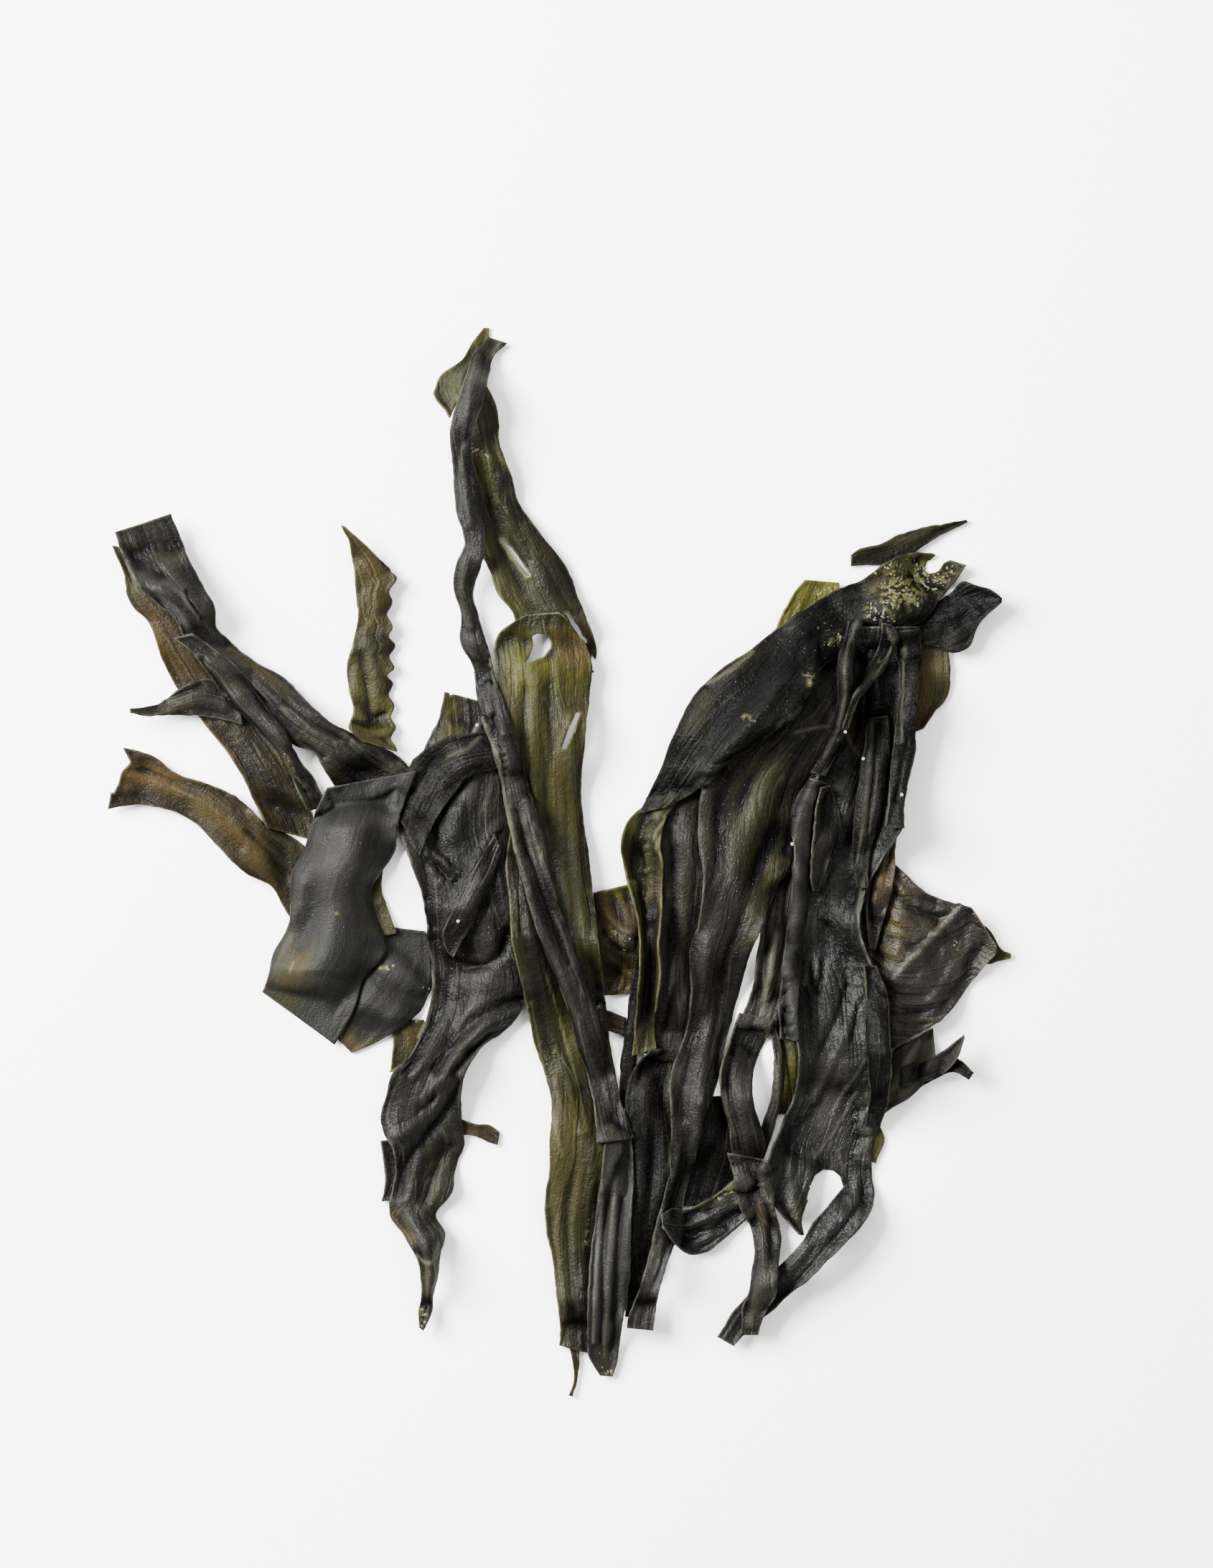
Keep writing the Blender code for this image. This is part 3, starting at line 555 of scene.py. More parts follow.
    def _cut(self, outline: tuple[Point, ...]) -> None:
        """Cut a hole or notch, and bring the new edge onto its outline.

        Args:
            outline: The outline's corners in order.
        """
        place = self.points + LAYOUT_CENTRE
        middle = place[self.quads].mean(axis=1)
        gone = inside_outline(middle, outline)
        if not gone.any():
            LOG.warning("%s: a cut misses", self.frond.name)
            return
        border = np.intersect1d(self.quads[gone].ravel(), self.quads[~gone].ravel())
        _, _, snapped = nearest_on_line(place[border], (*outline, outline[0]))
        self.points[border] = snapped - LAYOUT_CENTRE
        kept = self.quads[~gone]
        used, back = np.unique(kept.ravel(), return_inverse=True)
        self.quads = back.reshape(kept.shape)
        self.points, self.across = self.points[used], self.across[used]
        self.along, self.sideways = self.along[used], self.sideways[used]

    def _join(self) -> None:
        """Find the edges between points, the outer edge, and each point's distance from it."""
        pairs = np.sort(np.concatenate(
            [self.quads[:, [corner, (corner + 1) % 4]] for corner in range(4)]), axis=1)
        self.edges, uses = np.unique(pairs, axis=0, return_counts=True)
        self.degree = np.bincount(self.edges.ravel(), minlength=len(self.points)).astype(float)
        ends = self.points[self.edges[uses == 1]]
        spots = np.concatenate([ends[:, 0], ends[:, 1], ends.mean(axis=1)])
        tree = KDTree(len(spots))
        for place, spot in enumerate(spots):
            tree.insert((spot[0], spot[1], 0.0), place)
        tree.balance()
        self.edge_distance = np.array([tree.find((x, y, 0.0))[2] for x, y in self.points])

    def neighbour_mean(self, values: np.ndarray) -> np.ndarray:
        """Return each point's mean over the points joined to it.

        Args:
            values: A value for each point.

        Returns:
            A mean for each point.
        """
        ends = (self.edges[:, 0], self.edges[:, 1])
        count = len(values)
        total = np.bincount(ends[0], values[ends[1]], count) + np.bincount(ends[1], values[ends[0]], count)
        return total / self.degree

    def noise(self, across_pitch: float, along_pitch: float, shift: float = 0.0) -> np.ndarray:
        """Return the frond's own noise, drawn out along its length."""
        return lattice_noise(self.sideways / across_pitch + self.offset[0] + shift,
                             self.along / along_pitch + self.offset[1] + shift, self.table)

    def creases(self, across_pitch: float, along_pitch: float, shift: float) -> np.ndarray:
        """Return 1 on the crease lines of the frond's own noise, falling to 0 away from them."""
        return 1.0 - np.abs(2.0 * self.noise(across_pitch, along_pitch, shift) - 1.0)

    def stroke_sum(self, mark: Mark) -> np.ndarray:
        """Return the sum of the frond's strokes of one kind.

        Args:
            mark: The kind of stroke.

        Returns:
            A sum for each point.
        """
        total = np.zeros(len(self.points))
        place = self.points + LAYOUT_CENTRE
        for stroke in self.frond.strokes:
            if stroke.mark is mark:
                distance, side, _ = nearest_on_line(place, stroke.points)
                share = smooth_step(1.0 - distance / stroke.reach)
                if mark is Mark.LEDGE:
                    share = share * smooth_step(0.5 + side * distance / LEDGE_WIDTH)
                total = total + stroke.amount * share
        return total

    def own_form(self, phase: np.ndarray) -> np.ndarray:
        """Return how far each point stands over a frond that lay flat, in millimetres.

        Args:
            phase: Where the frond's own waves start.

        Returns:
            A height for each point.
        """
        form, turn = self.frond.form, 2.0 * math.pi
        side = 2.0 * self.across - 1.0
        height = form.crown * (1.0 - side**2) + form.cup * side**2
        drift = RIDGE_DRIFT * np.sin(turn * self.along / RIDGE_DRIFT_PITCH + phase[0])
        ridge_turn = turn * (form.ridges * self.across + drift)
        height = height + form.ridge_height * 0.5 * (1.0 + np.cos(ridge_turn))
        ruffle_turn = turn * self.along / form.ruffle_pitch + phase[1] + RUFFLE_SIDE_PHASE * np.sign(side)
        height = height + form.ruffle * side**2 * 0.5 * (1.0 + np.sin(ruffle_turn))
        sway_turn = turn * self.along / form.sway_pitch + phase[2]
        height = height + form.sway * 0.5 * (1.0 + np.sin(sway_turn))
        end_distance = np.minimum(self.along, self.length - self.along)
        height = height * smooth_step((end_distance - FLAT_END) / FADE_LENGTH)
        height = height + form.lift_start * smooth_step(1.0 - self.along / LIFT_LENGTH)
        return height + form.lift_end * smooth_step(1.0 - (self.length - self.along) / LIFT_LENGTH)

    def wrinkles(self) -> np.ndarray:
        """Return the height of the fine creases, the curled edge and the folds of its strokes.

        Returns:
            A height in millimetres for each point.
        """
        form = self.frond.form
        broad = self.noise(form.crumple_across, form.crumple_along)
        crease = self.creases(
            form.crumple_across * CREASE_ACROSS_SHARE, form.crumple_along * CREASE_ALONG_SHARE, CREASE_SHIFT)
        pucker = self.noise(
            form.crumple_across * PUCKER_ACROSS_SHARE, form.crumple_along * PUCKER_ALONG_SHARE, PUCKER_SHIFT)
        sharp = self.creases(SHARP_ACROSS, SHARP_ALONG, SHARP_SHIFT)
        height = form.crumple * (BROAD_SHARE * broad + CREASE_SHARE * crease**2
                                 + PUCKER_SHARE * pucker + SHARP_SHARE * sharp**SHARP_POWER)
        curl = smooth_step(1.0 - self.edge_distance / CURL_WIDTH)
        uneven = CURL_LEAST + CURL_SPREAD * self.noise(CURL_ACROSS, CURL_ALONG, CURL_SHIFT)
        height = height + form.lip * curl * uneven
        return height + self.stroke_sum(Mark.FOLD) + self.stroke_sum(Mark.LEDGE)

    def lay(self, field: HeightField, phase: np.ndarray) -> None:
        """Give the sheet its heights over what already lies there.

        Args:
            field: The top of everything laid so far.
            phase: Where the frond's own waves start.
        """
        floor = field.least_height()
        cells = field.cells(self.points)
        least = floor[cells]
        height = least.copy()
        for _ in range(DRAPE_ROUNDS):
            height = np.maximum(least, self.neighbour_mean(height))
        height = np.maximum(least, height + self.own_form(phase) + self.wrinkles())
        for radius in PRESS_RADII:
            height = np.maximum(least, self._pressed(height, least, field, cells, radius))
        for _ in range(SOFTEN_ROUNDS):
            raised = np.maximum(least, self.neighbour_mean(height))
            height = np.where(height - least < SOFTEN_BELOW, raised, height)
        self.height = height

    def _pressed(self, height: np.ndarray, least: np.ndarray, field: HeightField, cells: tuple,
                 radius: float) -> np.ndarray:
        """Return heights dipped, within the radius, to touch each frond that lies under this one.

        Args:
            height: The sheet's heights.
            least: The least height at each point.
            field: The top of everything laid so far.
            cells: The field's cell under each point.
            radius: How far from the touching point a dip reaches.

        Returns:
            The dipped heights.
        """
        owners = field.owner[cells]
        clearance = height - least
        blocked = least - field.top[cells] > LAYER_GAP + OPEN_STEP
        for owner in np.unique(owners[owners != NOTHING]):
            over = np.flatnonzero(owners == owner)
            nearest = over[np.argmin(clearance[over] + height.max() * blocked[over])]
            distance = np.linalg.norm(self.points - self.points[nearest], axis=1)
            reach = smooth_step((radius - distance) / (radius * (1.0 - PRESS_CORE)))
            height = height - max(clearance[nearest], 0.0) * reach
        return height

    def top_samples(self) -> np.ndarray:
        """Return points all over the sheet's upper face, in millimetres.

        Returns:
            The points, one to a row.
        """
        solid = np.column_stack((self.points, self.height))
        corners = solid[self.quads]
        normal = np.cross(corners[:, 2] - corners[:, 0], corners[:, 3] - corners[:, 1])
        lean = np.maximum(np.abs(normal[:, 2]) / np.linalg.norm(normal, axis=1), STEEPEST)
        steps = [(i / FIELD_SUBSTEPS, j / FIELD_SUBSTEPS)
                 for i in range(FIELD_SUBSTEPS + 1) for j in range(FIELD_SUBSTEPS + 1)]
        samples = [corners[:, 0] * (1 - s) * (1 - t) + corners[:, 1] * s * (1 - t)
                   + corners[:, 2] * s * t + corners[:, 3] * (1 - s) * t for s, t in steps]
        for sample in samples:
            sample[:, 2] += WALL / lean
        return np.concatenate(samples)

    def to_mesh(self, name: str) -> bpy.types.Mesh:
        """Return the sheet as a mesh with the attributes that the finishes read.

        Args:
            name: The mesh's name.

        Returns:
            The mesh, in metres.
        """
        mesh = bpy.data.meshes.new(name)
        solid = np.column_stack((self.points, self.height)) * MM
        mesh.from_pydata(solid.tolist(), [], self.quads.tolist())
        mesh.shade_smooth()
        flow = np.column_stack((self.sideways * MM, self.along * MM, np.full(len(solid), self.offset[0])))
        mesh.attributes.new("flow", "FLOAT_VECTOR", "POINT").data.foreach_set("vector", flow.ravel())
        smoothed = self.height
        for _ in range(RIDGE_ROUNDS):
            smoothed = self.neighbour_mean(smoothed)
        shares = {
            "edge": np.clip(self.edge_distance / EDGE_REACH, 0.0, 1.0),
            # ridge: how far a point stands above or below its smoothed surroundings; the finish paints
            # highlight on ridges and shade in hollows from it.
            "ridge": np.clip((self.height - smoothed) / RIDGE_STEP, -1.0, 1.0),
        }
        for mark in (Mark.WARM, Mark.GREEN, Mark.OLIVE, Mark.DARK, Mark.PAINTED_HIGHLIGHT, Mark.CRUST):
            shares[mark.value] = np.clip(self.stroke_sum(mark), 0.0, 1.0)
        for label, values in shares.items():
            mesh.attributes.new(label, "FLOAT", "POINT").data.foreach_set("value", values)
        return mesh


@dataclass(frozen=True)
class FrondFinish:
    """Dried kelp: a leathery skin that shrank into fine lengthwise lines as its water left.

    The skin is near-black where it is thick and olive to brown where a single thin layer lets light
    through. It is semi-matt, with a fine grain. Its edges are paler, partly the skin's own cut edge and
    partly painted highlight. Its ridges carry a faint grey salt bloom mixed with painted highlight, and
    its hollows and creases carry painted shade.
    """

    name: str
    slot: str
    deep: str
    body: str
    thin: str
    edge: str
    ridge_salt_and_highlight: float = 0.2
    edge_line: float = 0.4
    roughness_low: float = 0.32
    roughness_high: float = 0.52
    specular: float = 0.06
    lines: float = 0.32
    pimple: float = 0.28
    mottle: float = 0.6
    crease: float = 0.4


@dataclass(frozen=True)
class Grain:
    """Noise of a real size in metres, spread over 0 to 1 from its low value to its high one.

    A grain with a length runs along the frond, and its size is then its width.
    """

    size: float
    detail: float
    low: float
    high: float
    length: float = 0.0


# Grey for salt speckle, and on ridges for salt bloom mixed with painted highlight. The near-black colour is
# painted shade.
SALT_AND_HIGHLIGHT_COLOUR = "#242421"
PAINTED_SHADE_COLOUR = "#020202"
CRUST_COLOUR = "#3d3b22"
ZONE_COLOURS = {Mark.OLIVE: "#211e0a", Mark.WARM: "#30240a", Mark.GREEN: "#2b2a07"}

# The sizes are those of real dried kelp: thin patches 34 mm across, streaks 3.5 mm wide, drying lines
# 1.1 mm apart, pimples 2.6 mm and crust 3 mm. Its salt dust and skin grain are near 0.2 mm, which is
# too fine to show, so they are drawn at 0.8 mm.
MOTTLE = Grain(0.034, 3.0, 0.36, 0.64)
STREAK = Grain(0.0035, 2.0, 0.35, 0.68, 0.060)
SPECKLE = Grain(0.0011, 2.0, 0.5, 0.72)
DUST = Grain(0.0008, 1.0, 0.3, 0.7)
PALE_EDGE_PATCHES = Grain(0.009, 2.0, 0.35, 0.6)
FLAKE = Grain(0.0030, 5.0, 0.48, 0.56)
GLOSS = Grain(0.007, 3.0, 0.35, 0.65)
DRY_LINES = Grain(0.0011, 2.0, 0.3, 0.7, 0.016)
PIMPLES = Grain(0.0026, 2.0, 0.35, 0.7)
SKIN = Grain(0.0008, 2.0, 0.3, 0.7)
CREASE_LINES = Grain(0.0085, 2.0, 0.0, 0.03, 0.110)
PALE_LINES = Grain(0.0125, 2.0, 0.0, 0.012, 0.110)

REFRACTION = 1.46
STREAK_SHARE = 0.8
ZONE_LEAST = 0.5
SPECKLE_SHARE = 0.5
PALE_LINE_SHARE = 0.7
DUST_LEAST = 0.3
# Painted shade: hollows take the deep colour, and shade strokes take the near-black one.
PAINTED_HOLLOW_SHADE = -1.1
PAINTED_SHADE_SHARE = 0.9
# The pale edge band is partly the edge's own colour and partly painted highlight; highlight strokes are
# painted highlight.
EDGE_BAND = (0.04, 0.12)
PAINTED_HIGHLIGHT_SHARE = 0.8
CRUST_ROUGHNESS = 0.4
SKIN_STRENGTH = 0.6
CRUST_STRENGTH = 0.6
CREASE_STRENGTH = 0.7
LINE_DEPTH = 0.0005
PIMPLE_DEPTH = 0.0007
SKIN_DEPTH = 0.00022
CRUST_DEPTH = 0.0005
CREASE_DEPTH = 0.0006

# Thick blades look near-black and dull, inner folds satin grey, and a few fresher ones glossy. Single
# layers let light through as olive, yellow-green or brown, and crusted blades stay black below.
FINISHES = {
    Look.BLACK: FrondFinish(
        "dried_kelp_black", "charcoal_frond", "#020202", "#070706", "#0d0c09", "#2c2b23",
        edge_line=0.3, ridge_salt_and_highlight=0.12, specular=0.03),
    Look.CHARCOAL: FrondFinish(
        "dried_kelp_charcoal", "charcoal_frond", "#050404", "#0f0f0d", "#191811", "#3a392f"),
    Look.SATIN: FrondFinish(
        "dried_kelp_satin", "charcoal_frond", "#0d0d0c", "#151514", "#1c1b15", "#38372f",
        roughness_low=0.44, roughness_high=0.54, lines=0.08, pimple=0.12, ridge_salt_and_highlight=0.12, mottle=0.35,
        crease=0.15),
    Look.GLOSSY: FrondFinish(
        "dried_kelp_glossy", "charcoal_frond", "#030303", "#090908", "#13130f", "#35342d",
        roughness_low=0.3, roughness_high=0.5, lines=0.3, pimple=0.35, specular=0.09),
    Look.OLIVE: FrondFinish(
        "dried_kelp_olive", "olive_frond", "#0b0a05", "#1a190c", "#2c2910", "#49462f"),
    Look.YELLOW_GREEN: FrondFinish(
        "dried_kelp_yellow_green", "yellow_green_frond", "#1f1e06", "#343208", "#45420e", "#63602c"),
    Look.BROWN: FrondFinish(
        "dried_kelp_brown", "brown_frond", "#0b0906", "#18140b", "#261e0d", "#403926"),
    Look.RED_BROWN: FrondFinish(
        "dried_kelp_red_brown", "red_brown_frond", "#080706", "#13110e", "#1f180f", "#3a362d",
        roughness_low=0.32, roughness_high=0.5, lines=0.4, pimple=0.35, specular=0.12, ridge_salt_and_highlight=0.1),
    Look.SALTED: FrondFinish(
        "dried_kelp_salted", "salted_frond", "#030303", "#060605", "#0f0f0b", "#38372c", ridge_salt_and_highlight=0.12,
        specular=0.03),
}


class FrondMaterial:
    """Builds the node material of one dried kelp finish."""

    def __init__(self, finish: FrondFinish) -> None:
        """Make the material with its colour, roughness and bump.

        Args:
            finish: The finish that the material shows.
        """
        self.finish = finish
        self.material = bpy.data.materials.new(finish.name)
        self.material.use_nodes = True
        self.tree = self.material.node_tree
        self.shader = self.tree.nodes["Principled BSDF"]
        self.place = open_socket(add_node(self.tree, "ShaderNodeTexCoord").outputs, "Object")
        self.flow = self._attribute("flow", "Vector")
        self.shader.inputs["IOR"].default_value = REFRACTION
        self.shader.inputs["Specular IOR Level"].default_value = finish.specular
        self._colour()
        self._roughness()
        self._bump()

    def _attribute(self, label: str, output: str = "Fac") -> bpy.types.NodeSocket:
        """Return one of the sheet's attributes."""
        return open_socket(
            add_node(self.tree, "ShaderNodeAttribute", attribute_name=label).outputs, output)

    def _raw_noise(self, grain: Grain) -> bpy.types.Node:
        """Make a grain's noise in its real size.

        Args:
            grain: The sizes of the noise.

        Returns:
            The noise node.
        """
        vector, scale = self.place, 1.0 / grain.size
        if grain.length:
            stretch = (1.0 / grain.size, 1.0 / grain.length, 1.0)
            vector = add_node(self.tree, "ShaderNodeVectorMath", {0: self.flow, 1: stretch},
                              operation="MULTIPLY")
            scale = 1.0
        return add_node(self.tree, "ShaderNodeTexNoise", {
            "Vector": vector, "Scale": scale, "Detail": grain.detail})

    def _noise(self, grain: Grain) -> bpy.types.Node:
        """Return the noise of a grain, from 0 to 1."""
        return add_node(self.tree, "ShaderNodeMapRange", {
            "Value": self._raw_noise(grain), "From Min": grain.low, "From Max": grain.high})

    def _line(self, grain: Grain) -> bpy.types.Node:
        """Make thin lines where a grain's noise crosses its middle.

        Args:
            grain: The lines' gap and length, and how far from the middle they fade out.

        Returns:
            The node that gives 1 on the lines and 0 away from them.
        """
        offset = add_node(self.tree, "ShaderNodeMath", {0: self._raw_noise(grain), 1: 0.5},
                          operation="SUBTRACT")
        away = add_node(self.tree, "ShaderNodeMath", {0: offset}, operation="ABSOLUTE")
        return add_node(self.tree, "ShaderNodeMapRange", {
            "Value": away, "From Min": grain.low, "From Max": grain.high, "To Min": 1.0, "To Max": 0.0})

    def _product(self, *factors: bpy.types.Node | bpy.types.NodeSocket | float) -> bpy.types.Node:
        """Multiply shares.

        Args:
            factors: The shares, of which the first is a node or a socket.

        Returns:
            The node that gives their product, clamped to 0..1.
        """
        share = factors[0]
        for factor in factors[1:]:
            share = add_node(self.tree, "ShaderNodeMath", {0: share, 1: factor},
                             operation="MULTIPLY", use_clamp=True)
        return share

    def _colour(self) -> None:
        """Lay over one another the skin's colours, its zones, salt bloom and painted highlight on ridges,
        painted shade in creases and hollows, and pale edges that are partly painted highlight.
        """
        finish = self.finish
        streak = self._noise(STREAK)
        broken = add_node(self.tree, "ShaderNodeMapRange", {"Value": streak, "To Min": ZONE_LEAST})
        self.crease = self._line(CREASE_LINES)
        ridge = self._attribute("ridge")
        dust = add_node(self.tree, "ShaderNodeMapRange", {"Value": self._noise(DUST), "To Min": DUST_LEAST})
        # A pale band along the cut edges, broken into patches, plus the highlight strokes: partly the edge's
        # own paler colour, partly painted highlight.
        near_edge = add_node(self.tree, "ShaderNodeMapRange", {
            "Value": self._attribute("edge"), "From Min": EDGE_BAND[0], "From Max": EDGE_BAND[1],
            "To Min": 1.0, "To Max": 0.0})
        pale_edge_and_highlight = add_node(self.tree, "ShaderNodeMath", {
            0: self._attribute(Mark.PAINTED_HIGHLIGHT.value), 1: PAINTED_HIGHLIGHT_SHARE,
            2: self._product(near_edge, finish.edge_line, self._noise(PALE_EDGE_PATCHES))},
            operation="MULTIPLY_ADD", use_clamp=True)
        self.crust = self._product(self._noise(FLAKE), self._attribute(Mark.CRUST.value))
        zones = [((self._attribute(mark.value), broken), colour) for mark, colour in ZONE_COLOURS.items()]
        layers = (
            ((streak, STREAK_SHARE), finish.body),
            ((self._noise(MOTTLE), finish.mottle), finish.thin),
            *zones,
            ((self._noise(SPECKLE), finish.mottle * SPECKLE_SHARE), SALT_AND_HIGHLIGHT_COLOUR),
            # Painted shade in the sunk crease lines.
            ((self.crease, finish.crease), PAINTED_SHADE_COLOUR),
            ((self._line(PALE_LINES), finish.crease * PALE_LINE_SHARE), finish.edge),
            # Salt bloom mixed with painted highlight on the ridges.
            ((ridge, finish.ridge_salt_and_highlight, dust), SALT_AND_HIGHLIGHT_COLOUR),
            # Painted shade in the hollows.
            ((ridge, PAINTED_HOLLOW_SHADE), finish.deep),
            # Painted shade strokes.
            ((self._attribute(Mark.DARK.value), PAINTED_SHADE_SHARE), PAINTED_SHADE_COLOUR),
            # Pale edges, partly painted highlight, and the painted highlight strokes.
            ((pale_edge_and_highlight,), finish.edge),
            ((self.crust,), CRUST_COLOUR),
        )
        tone = linear(finish.deep)
        for factors, colour in layers:
            tone = add_node(self.tree, "ShaderNodeMix", {
                "Factor": self._product(*factors), "A": tone, "B": linear(colour)}, data_type="RGBA")
        self.tree.links.new(open_socket(tone.outputs, "Result"), self.shader.inputs["Base Color"])

    def _roughness(self) -> None:
        """Let the gloss come and go in patches, and dull it on crust."""
        patch = add_node(self.tree, "ShaderNodeMapRange", {
            "Value": self._noise(GLOSS), "To Min": self.finish.roughness_low,
            "To Max": self.finish.roughness_high})
        rough = add_node(self.tree, "ShaderNodeMath", {0: self.crust, 1: CRUST_ROUGHNESS, 2: patch},
                         operation="MULTIPLY_ADD", use_clamp=True)
        self.tree.links.new(rough.outputs[0], self.shader.inputs["Roughness"])

    def _bump(self) -> None:
        """Add the lengthwise lines, the pimples, the grain, the crust and the sunk creases as bump."""
        layers = (
            (self._noise(DRY_LINES), self.finish.lines, LINE_DEPTH, False),
            (self._noise(PIMPLES), self.finish.pimple, PIMPLE_DEPTH, False),
            (self._noise(SKIN), SKIN_STRENGTH, SKIN_DEPTH, False),
            (self.crust, CRUST_STRENGTH, CRUST_DEPTH, False),
            (self.crease, CREASE_STRENGTH * self.finish.crease, CREASE_DEPTH, True),
        )
        inputs = {}
        for height, strength, distance, sunk in layers:
            inputs.update({"Height": height, "Strength": strength, "Distance": distance})
            inputs["Normal"] = add_node(self.tree, "ShaderNodeBump", inputs, invert=sunk)
        self.tree.links.new(inputs["Normal"].outputs[0], self.shader.inputs["Normal"])


def add_object(name: str, data: bpy.types.ID) -> bpy.types.Object:
    """Return a new object of the scene that shows the data.

    Args:
        name: The object's name.
        data: A mesh, a light or a camera.

    Returns:
        The object.
    """
    made = bpy.data.objects.new(name, data)
    bpy.context.scene.collection.objects.link(made)
    return made


@dataclass
class Laying:
    """What the groups share while fronds are laid: the field, the finishes and the sheets so far."""

    field: HeightField
    materials: dict[Look, bpy.types.Material]
    phases: np.random.Generator
    sheets: dict[str, Sheet]


@dataclass
class FrondGroup:
    """Fronds that are laid one after another."""

    fronds: tuple[Frond, ...] = ()

    def build(self, laying: Laying) -> None:
        """Lay, dress and report every frond of the group.

        Args:
            laying: What the groups share.
        """
        for frond in self.fronds:
            sheet = Sheet(frond, len(laying.sheets))
            sheet.lay(laying.field, laying.phases.uniform(0.0, 2.0 * math.pi, PHASES))
            laying.field.add(sheet.top_samples(), len(laying.sheets))
            laying.sheets[frond.name] = sheet
            piece = self.dress(sheet, laying)
            LOG.info("%s: %d quads", piece.name, len(sheet.quads))

    def dress(self, sheet: Sheet, laying: Laying) -> bpy.types.Object:
        """Make the frond's object with its wall and finish, in place of its CAD node.

        Args:
            sheet: The frond's sheet.
            laying: What the groups share.

        Returns:
            The object.
        """
        frond = sheet.frond
        piece = add_object(frond.name + "_skin", sheet.to_mesh(frond.name + "_skin"))
        piece.data.materials.append(laying.materials[frond.look])
        wall = piece.modifiers.new("wall", "SOLIDIFY")
        wall.thickness = WALL * MM
        wall.offset = 1.0
        wall.use_rim = True
        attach(piece, BODY)
        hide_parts(frond.name)
        return piece


FLAT = Form(crown=0.8, ruffle=0.6, sway=0.6)
STRAP = Form(crown=3.0, ruffle=2.0, sway=3.4, lift_start=3.0)
FOLDED = Form(crown=5.4, ruffle=0.6, sway=2.4)
TUBE = Form(crown=3.4, ruffle=0.0, sway=1.0)
THIN_FOLD = Form(crown=2.8, ruffle=0.0, sway=0.8)
TONGUE = Form(crown=1.8, ruffle=1.4, sway=1.0, lift_start=8.0)
SCOOP = Form(crown=0.0, cup=5.5, ruffle=1.0)
LEAF = Form(crown=3.2, ridges=1.5, ridge_height=1.0, ruffle=2.8, ruffle_pitch=38.0, sway=3.6)
FROND = Form(crown=5.0, ridges=1.3, ridge_height=2.0, ruffle=3.2, ruffle_pitch=44.0, sway=5.5, lift_end=5.0)
PALM = Form(
    crown=2.5, cup=4.6, ridges=2.0, ridge_height=1.6, ruffle=2.4, ruffle_pitch=48.0, sway=4.5, lift_end=4.0)
WRINKLED = Form(crown=3.0, ridges=1.5, ridge_height=1.2, ruffle=2.8, crumple=1.6, crumple_along=9.0)
GREAT = Form(crown=6.5, ridges=1.2, ridge_height=2.0, ruffle=3.0, sway=8.0, sway_pitch=120.0, lift_start=6.0)
RIBBON = Form(crown=3.2, ruffle=1.8, sway=6.0, sway_pitch=64.0)
FLAP = Form(
    crown=6.0, ridges=1.5, ridge_height=1.0, ruffle=3.0, lift_end=5.0, crumple=1.4, crumple_along=12.0)
UPPER_STRAP = Form(crown=5.6, ruffle=3.4, ridges=1.0, ridge_height=1.0, sway=6.0, lift_start=7.0)
SCALLOPED = Form(crown=2.8, ruffle=2.2, ruffle_pitch=17.0, lift_start=9.0)
SMOOTH_FOLD = Form(crown=11.0, ruffle=0.6, sway=3.0, crumple=0.0, lip=0.2, ragged=0.2)
LONG_BLADE = Form(crown=4.2, ridges=1.2, ridge_height=1.2, ruffle=2.8, ruffle_pitch=46.0, sway=6.0)
RIBBED = Form(crown=1.8, ridges=2.0, ridge_height=1.0, ruffle=0.6)
STANDING = Form(crown=6.0, ruffle=0.0, sway=1.0)

PALM_RUNGS = (
    124, 98, 150, 98,  120, 86, 150, 84,  118, 72, 147, 70,  117, 60, 146.5, 58,  113, 48, 147.5, 48,
    107, 36, 145, 36,  103, 26, 143, 26,  99, 14, 142.5, 15,  98, 0, 135, 2,  97, -14, 127, -14,
    96, -28, 125, -28,  95, -42, 130, -42,  97, -56, 136, -56,  98, -70, 136.5, -70,  99, -84, 137.3, -84,
    97, -98, 137, -97,  92, -110, 133, -110,  87, -122, 130, -121,  85, -128, 130.5, -131,
)
PALM_FINGERS = (
    Strip((
        85, -128, 107.75, -129.5,  86, -137, 104.5, -137,  91, -145, 101.5, -145,  96, -151, 100.5, -151,
        99.5, -155, 101.2, -155.3,
    ), across_to=0.5),
    Strip((
        107.75, -129.5, 130.5, -131,  108.5, -141, 131, -141,  106.5, -147.5, 127, -150,
        103, -154.5, 119, -158,  98, -162, 111, -166,  92, -168, 104, -173.5,  86, -174, 95.5, -180,
        80, -178.5, 90, -186,  75, -184, 85, -190,  70, -191, 78, -196,  65.5, -198, 72.5, -202,
    ), across_from=0.5),
)


UNDER_FRONDS = (
    Frond("base_wisp", Look.BROWN, FLAT, (
        4, -202, 8, -203,  5.5, -210, 8, -210,  5.8, -217, 7.6, -217,  4, -223, 5.6, -223.5,
    )),
    Frond("brown_cross_strip", Look.BROWN, FLAT, (
        17, -61, 18, -70,  28, -65, 27, -73,
    )),
    Frond("brown_web", Look.BROWN, WRINKLED, (
        14, -13, 30, -9,  15, -25, 35, -27,  17, -40, 32, -42,  18, -56, 29, -55,
    ), strokes=(
        green(6, 0.8, 20, -14, 30, -12), warm(7, 0.6, 24, -40, 28, -52), warm(5, 0.7, 18, -20, 22, -30),
        fold(2.5, 1.4, 18, -20, 26, -28, 32, -30), fold(2.5, -1.4, 18, -30, 24, -36, 30, -38),
        fold(2.5, 1.3, 20, -40, 26, -44, 30, -48), crust(4, 0.5, 20, -30, 26, -34),
        dark(5, 0.7, 30, -32, 24, -46),
    )),
)


@dataclass
class UnderFronds(FrondGroup):
    """Thin brown pieces that lie lowest in the middle."""

    fronds: tuple[Frond, ...] = UNDER_FRONDS


